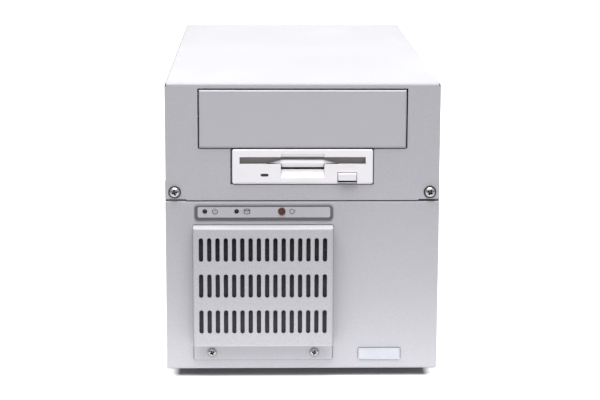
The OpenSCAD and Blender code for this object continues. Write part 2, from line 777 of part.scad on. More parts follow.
module drive_cage() {
  color(steel) difference() {
    union() {
      along_y(cage_y, cage_y + cage_d) cage_outline();
      block([-bay_half - cage_t, cage_y + cage_d - 30, filler_top - 2],
        [bay_half + cage_t, cage_y + cage_d, filler_top - 1]);
    }
    for (s = [-1, 1], y = cage_screw_ys) translate([s * (lip_in - 5), y, rail_z - eps])
      cylinder(r = m3 + fit, h = 3);
    for (y = screw_ys) {
      translate([0, cage_y + y, floppy_bottom + 7]) rod_x(m3 + fit, -90, 90);
      translate([0, cage_y + y, hdd_z + 8]) rod_x(m3 + fit, -90, 90);
    }
    // Lightening windows in the side walls
    for (y = [cage_y + 46, cage_y + 120]) translate([-100, y, filler_z]) rotate([90, 0, 90])
      linear_extrude(200) rounded([0, -12], [30, 12], 4);
  }
}

module cage_screws() {
  color(steel) for (s = [-1, 1], y = cage_screw_ys)
    translate([s * (lip_in - 5), y, rail_z + cage_t]) rotate([-90, 0, 0]) pan_screw(3, 1.8, m3, 5);
}

module drive_screws() {
  color(steel) for (s = [0, 1], y = screw_ys) mirror([s, 0, 0]) {
    for (seat = [[cage_half + cage_t, floppy_bottom + 7], [bay_half + cage_t, hdd_z + 8],
        [hanger_in + hanger_t, hdd_z + 16]])
      translate([seat[0], cage_y + y, seat[1]]) rotate([0, 0, 90]) pan_screw(2.8, 1.6, m3, 4);
  }
}

module floppy_chassis() {
  lid_z = floppy_top - 1.2;
  color([0.6, 0.61, 0.63]) difference() {
    union() {
      block([-floppy_half, bezel_back, floppy_bottom + 0.2], [floppy_half, floppy_back, lid_z]);
      // Signal header and power header at the back
      block([-24, floppy_back - eps, floppy_bottom + 3], [24, floppy_back + 1.5, floppy_bottom + 10]);
      block([-41, floppy_back - eps, floppy_bottom + 3], [-31, floppy_back + 1.5, floppy_bottom + 9]);
    }
    // Disk well, room for the flap's swing, head carriage well and the eject button's slide
    block([-flap_half - 1, bezel_back + 9, disk_slot_z - 3.4], [flap_half + 1, 98, lid_z + eps]);
    block([-ear_x - 2, bezel_back - eps, notch_bottom - 0.4], [ear_x + 2, bezel_back + 10, lid_z + eps]);
    block([12.8 - floppy_half, 90, floppy_bottom + 8], [floppy_half - 12.8, floppy_back - 6, lid_z + eps]);
    block([eject_x - eject_w / 2 - 1.6, bezel_back - eps, floppy_bottom - eps],
      [eject_x + eject_w / 2 + 1.6, bezel_back + 14, eject_bottom + eject_h + 1.8]);
    for (y = screw_ys) translate([0, cage_y + y, floppy_bottom + 7]) for (s = [-1, 1])
      rod_x(m3 + fit, s * floppy_half - 4, s * floppy_half + 4);
    translate([pill_x, 0, pill_z]) rod_y(1, bezel_back - eps, bezel_back + 2);
  }
}

module floppy_lid() {
  lid_z = floppy_top - 1.2;
  color(steel) difference() {
    block([-floppy_half, bezel_back + 0.5, lid_z], [floppy_half, floppy_back - 2, lid_z + 0.8]);
    for (y = [40, 110]) translate([-30, y, lid_z - eps]) linear_extrude(2) rounded([0, 0], [60, 16], 3);
  }
}

module bezel_pill(grow) {
  translate([pill_x, pill_z]) rotate(90) upright_slot(1.9 + grow, 5.6 + grow);
}

module floppy_bezel() {
  face = -bezel_proud;
  ramp_low = floppy_bottom + 4.5;
  ramp_deep = 3.2;
  rise = notch_bottom - ramp_low;
  scoop_r = 8;
  chord = sqrt(ramp_deep * ramp_deep + rise * rise);
  apart = sqrt(scoop_r * scoop_r - chord * chord / 4);
  scoop_y = face + ramp_deep / 2 - apart * rise / chord;
  scoop_z = ramp_low + rise / 2 + apart * ramp_deep / chord;
  color(bezel_white) difference() {
    union() {
      intersection() {
        translate([0, 0, floppy_z]) bevel_plate(floppy_w, floppy_h, face, bezel_back, 0.5);
        along_y(face - eps, bezel_back)
          rounded([-floppy_w / 2, floppy_bottom], [floppy_w / 2, floppy_top], 1.5);
      }
      // Ears that carry the flap's pins
      for (s = [-1, 1]) along_x(s * ear_x - 0.9, s * ear_x + 0.9) {
        translate([flap_y, flap_z]) circle(1.8);
        translate([bezel_back - eps, flap_z - 1.8]) square([flap_y - bezel_back + eps, 3.6]);
      }
    }
    // Disk slot, room behind its edge for the flap's swing, finger notch, its scoop and its ramp
    block([-disk_slot_w / 2, face - eps, disk_slot_bottom],
      [disk_slot_w / 2, bezel_back + eps, disk_slot_top]);
    block([-flank_x - 1, face + 1.4, disk_slot_bottom - 1], [flank_x + 1, bezel_back + eps, disk_slot_top]);
    block([-notch_w / 2, face - eps, notch_bottom], [notch_w / 2, bezel_back + eps, disk_slot_top]);
    chin(floppy_w / 2, floppy_bottom);
    along_x(-notch_w / 2, notch_w / 2) polygon([[face - eps, disk_slot_top + 2.8],
      [face, disk_slot_top + 2.4], [face + 2.2, disk_slot_top - eps], [face - eps, disk_slot_top - eps]]);
    along_x(-notch_w / 2, notch_w / 2) intersection() {
      translate([scoop_y, scoop_z]) circle(scoop_r);
      translate([face - scoop_r, ramp_low - eps]) square([2 * scoop_r, rise + 2 * eps]);
    }
    block([eject_x - eject_w / 2 - 0.45, face - eps, floppy_bottom - eps],
      [eject_x + eject_w / 2 + 0.45, bezel_back + eps, eject_bottom + eject_h + 0.45]);
    along_y(face - eps, bezel_back + eps) bezel_pill(0.15);
    for (s = [-1, 1]) translate([0, flap_y, flap_z])
      rod_x(flap_pin_r + run_fit, s * ear_x - 1.2, s * ear_x + 1.2);
  }
}

module floppy_flap() {
  color(bezel_white) difference() {
    union() {
      translate([0, flap_y, flap_z]) {
        rod_x(flap_pin_r, -ear_x - 0.5, ear_x + 0.5);
        rod_x(1.1, -flap_half, flap_half);
      }
      block([-flap_half, flap_y - flap_t, disk_slot_bottom - 0.9], [flap_half, flap_y, flap_z]);
      // Bulge that fills the finger notch, and its tapered flanks
      along_x(-notch_w / 2 + 0.5, notch_w / 2 - 0.5) intersection() {
        translate([flap_y - flap_t + 0.3, bulge_z]) circle(bulge_r);
        translate([flap_y - flap_t - bulge_r, bulge_z - bulge_r]) square([bulge_r + 1, 2 * bulge_r]);
      }
      for (s = [0, 1]) mirror([s, 0, 0]) hull() {
        along_x(notch_w / 2 - 1, notch_w / 2 - 0.5) intersection() {
          translate([flap_y - flap_t + 0.3, bulge_z]) circle(bulge_r, $fn = 32);
          translate([flap_y - flap_t - bulge_r, disk_slot_bottom + 0.2]) square([bulge_r + 1, bulge_r]);
        }
        block([flank_x, flap_y - flap_t - 0.05, disk_slot_bottom + 0.2],
          [flank_x + 0.2, flap_y - 0.2, disk_slot_bottom + 0.6]);
      }
    }
  }
}

module eject_button() {
  color([0.91, 0.9, 0.88]) translate([eject_x, 0, eject_bottom]) {
    translate([0, 0, eject_h / 2])
      bevel_plate(eject_w, eject_h, -bezel_proud - eject_travel, bezel_back + 0.5, 0.4);
    block([-eject_w / 2 - 0.9, bezel_back + 0.3, 0], [eject_w / 2 + 0.9, bezel_back + 1.5, eject_h + 0.9]);
    block([-3, bezel_back + 1, 1.5], [3, bezel_back + 9, 4.5]);
  }
}

module floppy_lamp() {
  color([0.25, 0.27, 0.15]) {
    along_y(-bezel_proud + 0.1, bezel_back) bezel_pill(0);
    translate([pill_x, 0, pill_z]) rod_y(0.9, bezel_back - eps, bezel_back + 2);
  }
}

module hard_disk() {
  color([0.45, 0.46, 0.48]) translate([0, hdd_y, hdd_z]) difference() {
    union() {
      linear_extrude(hdd_h - 3) rounded([-disk_half, 0], [disk_half, hdd_d], 3);
      linear_extrude(hdd_h - 0.6) rounded([-disk_half + 3, 3], [disk_half - 3, hdd_d - 12], 8);
      translate([0, 52, 0]) cylinder(r = 36, h = hdd_h);
      block([-30, hdd_d - 8, 2], [30, hdd_d + 1.5, 10]);
      block([32, hdd_d - 8, 2], [48, hdd_d + 1.5, 10]);
    }
    translate([0, 52, hdd_h - 1]) cylinder(r = 12, h = 2);
    block([-disk_half + 6, 8, -eps], [disk_half - 6, hdd_d - 14, 1.6]);
    for (s = [-1, 1], y = screw_ys) translate([0, cage_y + y - hdd_y, 16])
      rod_x(m3 + fit, s * disk_half - 4, s * disk_half + 4);
  }
}

module disk_brackets() {
  color(steel) for (s = [0, 1]) mirror([s, 0, 0]) difference() {
    along_y(hdd_y + 6, hdd_back - 30) {
      translate([hanger_in, hdd_z - hanger_t]) square([hanger_t, hdd_h]);
      translate([hanger_in, hdd_z - hanger_t]) square([hanger_out - hanger_in, hanger_t]);
      translate([hanger_out - hanger_t, bay_floor + fit]) square([hanger_t, hdd_z + hdd_h - bay_floor - 4]);
    }
    for (y = screw_ys) {
      translate([0, cage_y + y, hdd_z + 8]) rod_x(m3 + fit, bay_half - 4, bay_half);
      translate([0, cage_y + y, hdd_z + 16]) rod_x(m3 + fit, disk_half - 2, disk_half + 3);
    }
  }
}

// Ribbon cables

ribbon_t = 1;

// Strip outline that comes from x0 at height z, bends down with radius r and ends at z_end
module bend_down(x0, x1, z, r, z_end) {
  // x1 is the outer face of the strip that hangs
  translate([x0, z - ribbon_t]) square([x1 - r - x0, ribbon_t]);
  translate([x1 - ribbon_t, z_end]) square([ribbon_t, z - r - z_end]);
  intersection() {
    translate([x1 - r, z - r]) difference() {
      circle(r);
      circle(r - ribbon_t);
    }
    translate([x1 - r, z - r]) square(r);
  }
}

floppy_ribbon_y = cage_y + cage_d + 2;
floppy_ribbon_w = 43;
floppy_ribbon_z = floppy_bottom + 18;
disk_ribbon_y = card_back - io_len - 1.35;
disk_ribbon_w = 51;
disk_ribbon_z = hdd_z - 9;

module floppy_ribbon() {
  half = floppy_ribbon_w / 2;
  plug_y = floppy_back + 1.5;
  hang_x = cpu_x + comp_x + 10;
  color([0.55, 0.56, 0.58]) {
    // Plug on the drive, run up its back and over to the fold
    block([-half - 2.5, plug_y, floppy_bottom + 3.2], [half + 2.5, plug_y + 7, floppy_bottom + 9.8]);
    intersection() {
      along_x(-half, half) translate([plug_y + 5, 0]) mirror([1, 0])
        bend_down(-(floppy_ribbon_y + floppy_ribbon_w - plug_y - 5), 0, floppy_ribbon_z, 5,
          floppy_bottom + 9);
      linear_extrude(case_h) polygon([[-half, 0], [half, 0], [half, floppy_ribbon_y],
        [-half, floppy_ribbon_y + floppy_ribbon_w]]);
    }
    // Folded over at 45 degrees, across to the processor card and down to its plug
    intersection() {
      along_y(floppy_ribbon_y, floppy_ribbon_y + floppy_ribbon_w) mirror([1, 0])
        bend_down(-half, -hang_x + ribbon_t / 2, floppy_ribbon_z + ribbon_t, 5, 120);
      linear_extrude(case_h) polygon([[-half_w, 0], [-half, 0], [half, floppy_ribbon_y],
        [-half, floppy_ribbon_y + floppy_ribbon_w], [-half_w, floppy_ribbon_y + floppy_ribbon_w]]);
    }
    block([cpu_x + comp_x + 4, floppy_ribbon_y - 2, 115],
      [hang_x + 2, floppy_ribbon_y + floppy_ribbon_w + 2, 122]);
  }
}

module disk_ribbon() {
  half = disk_ribbon_w / 2;
  plug_y = hdd_back + 1.5;
  hang_x = io_x + comp_x + 12;
  color([0.55, 0.56, 0.58]) {
    block([-half - 2.5, plug_y, hdd_z + 2.2], [half + 2.5, plug_y + 7, hdd_z + 9.8]);
    // Down the back of the drive, then back to the fold
    intersection() {
      along_x(-half, half) translate([plug_y + 4, 2 * disk_ribbon_z]) mirror([1, 0]) mirror([0, 1])
        bend_down(-(disk_ribbon_y + disk_ribbon_w - plug_y - 4), 0, disk_ribbon_z + ribbon_t, 5,
          2 * disk_ribbon_z - hdd_z - 3);
      linear_extrude(case_h) polygon([[-half, 0], [half, 0], [half, disk_ribbon_y + disk_ribbon_w],
        [-half, disk_ribbon_y]]);
    }
    intersection() {
      along_y(disk_ribbon_y, disk_ribbon_y + disk_ribbon_w)
        bend_down(-half, hang_x + ribbon_t / 2, disk_ribbon_z + ribbon_t, 5, 120);
      linear_extrude(case_h) polygon([[half_w, 0], [half, 0], [-half, disk_ribbon_y],
        [half, disk_ribbon_y + disk_ribbon_w], [half_w, disk_ribbon_y + disk_ribbon_w]]);
    }
    block([io_x + comp_x + 4, disk_ribbon_y - 1, 115], [hang_x + 2, disk_ribbon_y + disk_ribbon_w + 1, 122]);
  }
}

// Backplane and cards

module backplane() {
  color(green) {
    difference() {
      block([-backplane_half, backplane_y0, backplane_z], [backplane_half, backplane_y1, connector_z]);
      standoff_places() translate([0, 0, backplane_z - eps]) cylinder(r = m3 + fit, h = board_t + 2 * eps);
    }
    color([0.9, 0.9, 0.85]) block([backplane_half - 7, backplane_y0 + 40, connector_z - 0.2],
      [backplane_half - 1, backplane_y0 + 94, connector_z + 10]);
    for (i = [0 : 5]) translate([-60 + i * 22, backplane_y0 + 16, connector_z - 0.2]) cylinder(r = 4, h = 11);
  }
}

module standoff_places() {
  for (x = standoff_xs, y = standoff_ys) translate([x, y, 0]) children();
}

module backplane_standoffs() {
  color([0.8, 0.65, 0.3]) standoff_places() difference() {
    translate([0, 0, sheet]) cylinder(r = 3.2, h = backplane_z - sheet, $fn = 6);
    translate([0, 0, sheet + 0.8]) cylinder(r = m3 + fit, h = backplane_z);
  }
}

module backplane_screws() {
  color(steel) standoff_places() translate([0, 0, connector_z]) rotate([-90, 0, 0])
    pan_screw(2.8, 1.6, m3, board_t + 3);
}

module slot_connectors() {
  color(black) for (i = [0 : card_slots - 1]) translate([card_x(i), connector_y, 0]) difference() {
    block([-4.3, 0, connector_z], [4.3, connector_len, connector_z + connector_h]);
    block([-board_t / 2 - fit, 2, card_low - 1], [board_t / 2 + fit, connector_len - 2, card_low + card_h]);
  }
}

// Board outline of a card of length len, with its edge contact tongue
module card_board(len) {
  block([-board_t / 2, card_back - len, card_floor], [board_t / 2, card_back, card_top]);
  block([-board_t / 2, connector_y + 3, card_low],
    [board_t / 2, connector_y + connector_len - 3, card_floor + eps]);
}

// Chip or other low block on a card's component side: y and z from its lower front corner
module chip(y, z, w, h, t) {
  block([comp_x - 0.2, y, z], [comp_x + t, y + w, z + h]);
}

cpu_chip_y = card_back - 130.35;
cpu_chip_z = 50;
cpu_chip_side = 50;
cpu_chip_t = 4.5;
simm_y = card_front + 14.65;
simm_z = 62;

// Shell of a port connector on the card at x, grown for its cut-out
module port_shell(x, z, h, grow) {
  along_y(card_back - 1, recess_y + 5) rounded([x + comp_x + 1 - grow, z - grow],
    [x + comp_x + 9 + grow, z + h + grow], 2);
}

lead_plug_y = card_front + 7.65;
cpu_port_zs = [44, 86];
cpu_port_h = 17;
io_port_z = 52;
io_port_h = 39;

module cpu_card() {
  color(green) translate([cpu_x, 0, 0]) {
    card_board(card_len);
    color(black) {
      chip(cpu_chip_y, cpu_chip_z, cpu_chip_side, cpu_chip_side, cpu_chip_t);
      for (z = [50, 86]) chip(cpu_chip_y - 50, z, z == 50 ? 30 : 22, z == 50 ? 30 : 22, 3);
      chip(cpu_chip_y + 45, 106, 34, 12, 4);
      for (i = [0 : 4]) chip(simm_y + 8 + i * 22, 34, 10, 20, 2.6);
      chip(floppy_ribbon_y - 2, 114, floppy_ribbon_w + 4, 9, 4);
      chip(lead_plug_y - 1, 121, 12, 8, 3);
    }
    color([0.9, 0.9, 0.88]) chip(simm_y, simm_z - 1, 110, 7, 9);
  }
  // Two port connectors whose shells pass through the bracket
  color(steel) for (z = cpu_port_zs) {
    block([cpu_x + comp_x - 0.2, card_back - 12, z - 6],
      [cpu_x + comp_x + 10, card_back, z + cpu_port_h + 6]);
    port_shell(cpu_x, z, cpu_port_h, 0);
  }
}

module io_card() {
  color(green) translate([io_x, 0, 0]) {
    card_board(io_len);
    color(black) {
      chip(card_back - 125.35, 50, 28, 28, 3.2);
      for (i = [0 : 3]) chip(card_back - 135.35 + i * 26, 96, 18, 8, 3.4);
      chip(disk_ribbon_y + 0.5, 114, disk_ribbon_w, 9, 4);
    }
  }
  color(steel) block([io_x + comp_x - 0.2, card_back - 12, io_port_z - 7],
    [io_x + comp_x + 10, card_back, io_port_z + io_port_h + 7]);
  color(steel) port_shell(io_x, io_port_z, io_port_h, 0);
}

// Bracket that closes one slot
module slot_bracket() {
  y0 = bracket_y - bracket_t;
  difference() {
    union() {
      block([-9.2, y0, card_low], [9.2, bracket_y, ledge_z + lap_gap + bracket_t]);
      block([-5, y0, ledge_z - bracket_h - 4], [5, bracket_y, card_low + eps]);
      block([-9.2, y0, ledge_z + lap_gap], [9.2, recess_y + 9.4, ledge_z + lap_gap + bracket_t]);
    }
    translate([0, recess_y + 5, ledge_z - eps]) cylinder(r = m3 + fit, h = 3);
  }
}

module cpu_card_bracket() {
  color(nickel) difference() {
    translate([slot_x(cpu_slot), 0, 0]) slot_bracket();
    for (z = cpu_port_zs) port_shell(cpu_x, z, cpu_port_h, 0.4);
  }
}

module io_card_bracket() {
  color(nickel) difference() {
    translate([slot_x(io_slot), 0, 0]) slot_bracket();
    port_shell(io_x, io_port_z, io_port_h, 0.4);
  }
}

module blank_brackets() {
  color(nickel) for (i = [0 : card_slots - 1])
    if (i != cpu_slot && i != io_slot) translate([slot_x(i), 0, 0]) slot_bracket();
}

module bracket_screws() {
  color(steel) for (i = [0 : card_slots - 1])
    translate([slot_x(i), recess_y + 5, ledge_z + lap_gap + bracket_t]) rotate([-90, 0, 0])
      pan_screw(3.6, 2.1, m3, 6);
}

module cpu_heatsink() {
  x0 = cpu_x + comp_x + cpu_chip_t;
  color([0.3, 0.3, 0.32]) {
    block([x0, cpu_chip_y + 1, cpu_chip_z + 1],
      [x0 + 2, cpu_chip_y + cpu_chip_side - 1, cpu_chip_z + cpu_chip_side - 1]);
    for (i = [0 : 8]) block([x0 + 1, cpu_chip_y + 1, cpu_chip_z + 1 + i * 5.8],
      [x0 + 8.5, cpu_chip_y + cpu_chip_side - 1, cpu_chip_z + 2.6 + i * 5.8]);
  }
}

module memory_module() {
  x0 = cpu_x + comp_x + 5;
  color([0.1, 0.3, 0.16]) {
    block([x0, simm_y + 1, simm_z + 6], [x0 + 1.3, simm_y + 109, simm_z + 31]);
    for (i = [0 : 7]) translate([x0 + 1, simm_y + 4 + i * 13, simm_z + 12]) cube([2.6, 9, 14]);
  }
}

module card_guide() {
  y0 = card_front - 4;
  color([0.85, 0.85, 0.82]) difference() {
    block([-field_half, y0, sheet], [field_half, y0 + 14, card_floor + 6]);
    for (i = [0 : card_slots - 1]) block([card_x(i) - board_t / 2 - fit, y0 + 3, card_floor - fit],
      [card_x(i) + board_t / 2 + fit, y0 + 20, card_floor + 10]);
    for (i = [0 : card_slots - 2]) block([card_x(i) + 3, y0 - eps, sheet + 4],
      [card_x(i + 1) - 3, y0 + 20, card_floor + 2]);
  }
}

module hold_down_bar() {
  color(steel) difference() {
    union() {
      block([-lip_in, bar_y, rail_z], [lip_in, bar_y + bar_d, rail_z + sheet]);
      for (y = [bar_y, bar_y + bar_d - sheet])
        block([fit + rail_w - lip_out, y, rail_z - 7], [lip_out - rail_w - fit, y + sheet, rail_z + eps]);
    }
  }
}

module card_clamps() {
  color(black) for (x = [cpu_x, io_x]) translate([x, 0, 0]) difference() {
    block([-4.5, bar_y + sheet + fit, card_top - 3], [4.5, bar_y + bar_d - sheet - fit, rail_z]);
    block([-board_t / 2 - fit, bar_y, card_top - 3 - eps],
      [board_t / 2 + fit, bar_y + bar_d, card_top + fit]);
  }
}

// Power supply

module psu_screw_places() {
  for (x = [-1, 1], z = [-1, 1]) translate([x * (psu_w / 2 - 5.5), 0, z * (psu_h / 2 - 5.5)]) children();
}

module psu_case() {
  color(steel) difference() {
    block([-psu_w / 2, psu_y0, psu_z0], [psu_w / 2, psu_y1, psu_z0 + psu_h]);
    block([-psu_w / 2 + psu_t, psu_y0 + psu_t, psu_z0 + psu_t],
      [psu_w / 2 - psu_t, psu_y1 - psu_t, psu_z0 + psu_h - psu_t]);
    translate([psu_fan_x, psu_y1, psu_z]) {
      rod_y(psu_bore_r, -psu_t - eps, eps);
      corners(psu_fan_side - 10) rod_y(m3 + 0.7, -psu_t - eps, eps);
    }
    translate([inlet_x, psu_y1, psu_z]) block([-13.9, -2, -10.4], [13.9, eps, 10.4]);
    translate([switch_x, psu_y1, psu_z]) block([-7.8, -2, -10], [7.8, eps, 10]);
    translate([0, psu_y1, psu_z]) psu_screw_places() rod_y(m3 + fit, -psu_t - eps, eps);
    for (i = [0 : 15]) translate([-52 + i * 6, 0, psu_z + 4]) along_y(psu_y0 - eps, psu_y0 + psu_t + eps)
      upright_slot(3, 34);
    for (x = [-40, 58, 66]) translate([x, 0, psu_z0 + 9]) rod_y(4.6, psu_y0 - eps, psu_y0 + psu_t + eps);
  }
}

module psu_board() {
  z0 = psu_z0 + 5;
  y0 = psu_y0 + 8;
  color([0.55, 0.45, 0.25]) {
    block([-psu_w / 2 + 6, y0, z0], [psu_w / 2 - 6, y0 + 84, z0 + board_t]);
    for (x = [-psu_w / 2 + 12, psu_w / 2 - 12], y = [y0 + 6, y0 + 78]) translate([x, y, psu_z0 + psu_t])
      cylinder(r = 2.6, h = 5);
    block([-14, y0 + 34, z0 + 1], [16, y0 + 66, z0 + 34]);
    for (x = [30, 52]) translate([x, y0 + 50, z0 + 1]) cylinder(r = 10, h = 40);
    for (x = [-44, 20]) block([x, y0 + 4, z0 + 1], [x + 3, y0 + 28, z0 + 44]);
    for (i = [0 : 3]) translate([-52 + i * 12, y0 + 66, z0 + 1]) cylinder(r = 4.5, h = 20);
  }
}

module at_psu_fan() {
  translate([psu_fan_x, psu_y1 - psu_t - fit / 2, psu_z]) mirror([0, 1, 0]) children();
}

module psu_fan_frame() {
  color(black) at_psu_fan() fan_frame(psu_fan_side, psu_fan_d, psu_bore_r, psu_fan_side - 10);
}

module psu_fan_rotor() {
  color([0.12, 0.12, 0.13]) at_psu_fan() fan_rotor(psu_fan_side, psu_fan_d, psu_bore_r);
}

module psu_fan_guard() {
  color(nickel) translate([psu_fan_x, psu_y1, psu_z]) mirror([0, 1, 0])
    fan_guard(psu_bore_r, psu_fan_side - 10, 4);
}

module psu_screws() {
  color(nickel) {
    translate([0, case_d, psu_z]) psu_screw_places() mirror([0, 1, 0]) pan_screw(3.4, 2, m3, 6);
    translate([psu_fan_x, psu_y1 + 1.6, psu_z]) corners(psu_fan_side - 10) mirror([0, 1, 0])
      pan_screw(3.4, 1.8, m3, 9);
  }
}

module inlet_shape(grow) {
  polygon([[-12.2 - grow, 8.2 + grow], [12.2 + grow, 8.2 + grow], [12.2 + grow, -2.5],
    [7 + grow, -8.2 - grow], [-7 - grow, -8.2 - grow], [-12.2 - grow, -2.5]]);
}

module ac_inlet() {
  color(black) translate([inlet_x, psu_y1, psu_z]) difference() {
    union() {
      along_y(0, 2.4) rounded([-15.8, -12.4], [15.8, 12.4], 3);
      block([-13.7, -18, -10.2], [13.7, 0.5, 10.2]);
    }
    along_y(-15, 3) inlet_shape(0);
    for (p = [[0, 3], [-7, -1.6], [7, -1.6]]) translate([p[0], 0, p[1]])
      block([-1.1, -19, -2.1], [1.1, -14, 2.1]);
  }
}

module ac_inlet_pins() {
  color(nickel) translate([inlet_x, psu_y1, psu_z]) for (p = [[0, 3], [-7, -1.6], [7, -1.6]])
    translate([p[0], 0, p[1]]) block([-1, -24, -2], [1, -3.6, 2]);
}

module switch_housing() {
  color(black) translate([switch_x, psu_y1, psu_z]) difference() {
    union() {
      along_y(0, 1.8) rounded([-8.8, -11.6], [8.8, 11.6], 1.5);
      block([-7.6, -16, -9.8], [7.6, 0.5, 9.8]);
    }
    block([-rocker_half - 0.3, -12, -rocker_r - 0.3], [rocker_half + 0.3, 3, rocker_r + 0.3]);
    translate([0, rocker_y - psu_y1, 0]) rod_x(trunnion_r + run_fit, -7, 7);
  }
}

module power_rocker() {
  rise = rocker_r * tan(rocker_tilt);
  color(black) translate([switch_x, rocker_y, psu_z]) rotate([-rocker_tilt, 0, 0]) {
    along_x(-rocker_half, rocker_half) intersection() {
      circle(rocker_r);
      polygon([[-6, -rocker_r], [rocker_valley + rise, -rocker_r], [rocker_valley, 0],
        [rocker_valley + rise, rocker_r], [-6, rocker_r]]);
    }
    rod_x(trunnion_r, -6.8, 6.8);
  }
}

// Wire bundles

function spline(p0, p1, p2, p3, t) = 0.5 * (2 * p1 + (p2 - p0) * t
  + (2 * p0 - 5 * p1 + 4 * p2 - p3) * t * t + (3 * p1 - p0 - 3 * p2 + p3) * t * t * t);

function route(points, steps) = let (last = len(points) - 1) concat(
  [for (i = [0 : last - 1], s = [0 : steps - 1])
    spline(points[max(i - 1, 0)], points[i], points[i + 1], points[min(i + 2, last)], s / steps)],
  [points[last]]);

function unit(v) = v / norm(v);

// Round bundle of radius r swept along a route of points
module bundle(points, r, steps = 4, sides = 8) {
  path = route(points, steps);
  last = len(path) - 1;
  rings = [for (i = [0 : last]) let (
      ahead = unit(path[min(i + 1, last)] - path[max(i - 1, 0)]),
      side = unit(cross(ahead, abs(ahead[0]) < 0.8 ? [1, 0, 0] : [0, 0, 1])),
      up = cross(side, ahead))
    for (k = [0 : sides - 1]) path[i] + r * (cos(k * 360 / sides) * side + sin(k * 360 / sides) * up)];
  polyhedron(rings, concat(
    [[for (k = [sides - 1 : -1 : 0]) k]],
    [for (i = [0 : last - 1], k = [0 : sides - 1], tri = [0, 1]) let (
        a = i * sides + k, b = i * sides + (k + 1) % sides)
      tri == 0 ? [a, b, b + sides] : [a, b + sides, a + sides]],
    [[for (k = [0 : sides - 1]) last * sides + k]]));
}

module power_harness() {
  exit_z = psu_z0 + 9;
  color([0.75, 0.2, 0.15]) {
    // To the backplane
    bundle([[66, psu_y0 + 4, exit_z], [66, psu_y0 - 5, exit_z - 2], [72, psu_y0 - 9, exit_z - 14],
      [79.5, psu_y0 - 9, 110], [80, psu_y0 - 12, 70], [79, backplane_y0 + 70, 40],
      [79, backplane_y0 + 67, connector_z + 22], [79, backplane_y0 + 67, connector_z + 12]], 3);
    block([backplane_half - 6.6, backplane_y0 + 42, connector_z + 10],
      [backplane_half - 1.4, backplane_y0 + 92, connector_z + 17]);
    // To the hard disk
    bundle([[58, psu_y0 + 4, exit_z], [58, psu_y0 - 6, exit_z + 3], [58, bar_y + 8, rail_z + 8],
      [56, hdd_back + 34, rail_z + 14], [42, hdd_back + 20, hdd_z + 4], [40, hdd_back + 8, hdd_z + 6]], 2.4);
    block([33, hdd_back + 1.6, hdd_z + 2.5], [47, hdd_back + 9, hdd_z + 9.5]);
    // To the floppy drive
    bundle([[-40, psu_y0 + 4, exit_z], [-42, psu_y0 - 6, exit_z + 3], [-48, bar_y + 8, rail_z + 6],
      [-49, floppy_back + 62, rail_z + 6], [-48.6, floppy_back + 40, rail_z + 5],
      [-45.5, floppy_back + 24, floppy_bottom + 10],
      [-36, floppy_back + 6, floppy_bottom + 6]], 1.6);
    block([-40.5, floppy_back + 1.6, floppy_bottom + 3.2], [-31.5, floppy_back + 7, floppy_bottom + 8.8]);
  }
}

module indicator_lead() {
  color([0.3, 0.3, 0.32]) {
    block([disk_lamp_x + 5.5, board_y + board_t, lamp_z - 2.5],
      [disk_lamp_x + 10.5, board_y + board_t + 4, lamp_z + 2.5]);
    bundle([[disk_lamp_x + 8, board_y + board_t + 2, lamp_z], [disk_lamp_x + 8, board_y + 12, lamp_z],
      [cpu_x + 8, 30, 124], [cpu_x + comp_x + 6, lead_plug_y - 11, 126],
      [cpu_x + comp_x + 6, lead_plug_y + 1, 125]], 1.4);
    block([cpu_x + comp_x + 3.1, lead_plug_y, 121.5], [cpu_x + comp_x + 8, lead_plug_y + 10, 128.5]);
  }
}

// Everything stands on its feet, with the origin below the middle of its outline
module stand() {
  translate([0, -(case_d + rocker_reach - filter_stand) / 2, foot_h]) children();
}

stand() chassis_tub();
stand() top_cover();
stand() cover_screws();
stand() rubber_feet();
stand() feet_screws();
stand() filter_cover();
stand() filter_cover_screws();
stand() dust_filter();
stand() front_fan_frame();
stand() front_fan_rotor();
stand() front_fan_guard();
stand() front_fan_screws();
stand() indicator_plate();
stand() indicator_lamps();
stand() indicator_board();
stand() indicator_lead();
stand() reset_button();
stand() reset_switch();
stand() name_plate();
stand() speaker();
stand() bay_filler();
stand() drive_cage();
stand() cage_screws();
stand() drive_screws();
stand() floppy_chassis();
stand() floppy_lid();
stand() floppy_bezel();
stand() floppy_flap();
stand() eject_button();
stand() floppy_lamp();
stand() hard_disk();
stand() disk_brackets();
stand() floppy_ribbon();
stand() disk_ribbon();
stand() backplane();
stand() backplane_standoffs();
stand() backplane_screws();
stand() slot_connectors();
stand() cpu_card();
stand() cpu_card_bracket();
stand() cpu_heatsink();
stand() memory_module();
stand() io_card();
stand() io_card_bracket();
stand() blank_brackets();
stand() bracket_screws();
stand() card_guide();
stand() hold_down_bar();
stand() card_clamps();
stand() psu_case();
stand() psu_board();
stand() psu_fan_frame();
stand() psu_fan_rotor();
stand() psu_fan_guard();
stand() psu_screws();
stand() ac_inlet();
stand() ac_inlet_pins();
stand() switch_housing();
stand() power_rocker();
stand() power_harness();
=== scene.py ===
import bpy
import bmesh
import json
import math
from mathutils import Matrix, Vector, noise


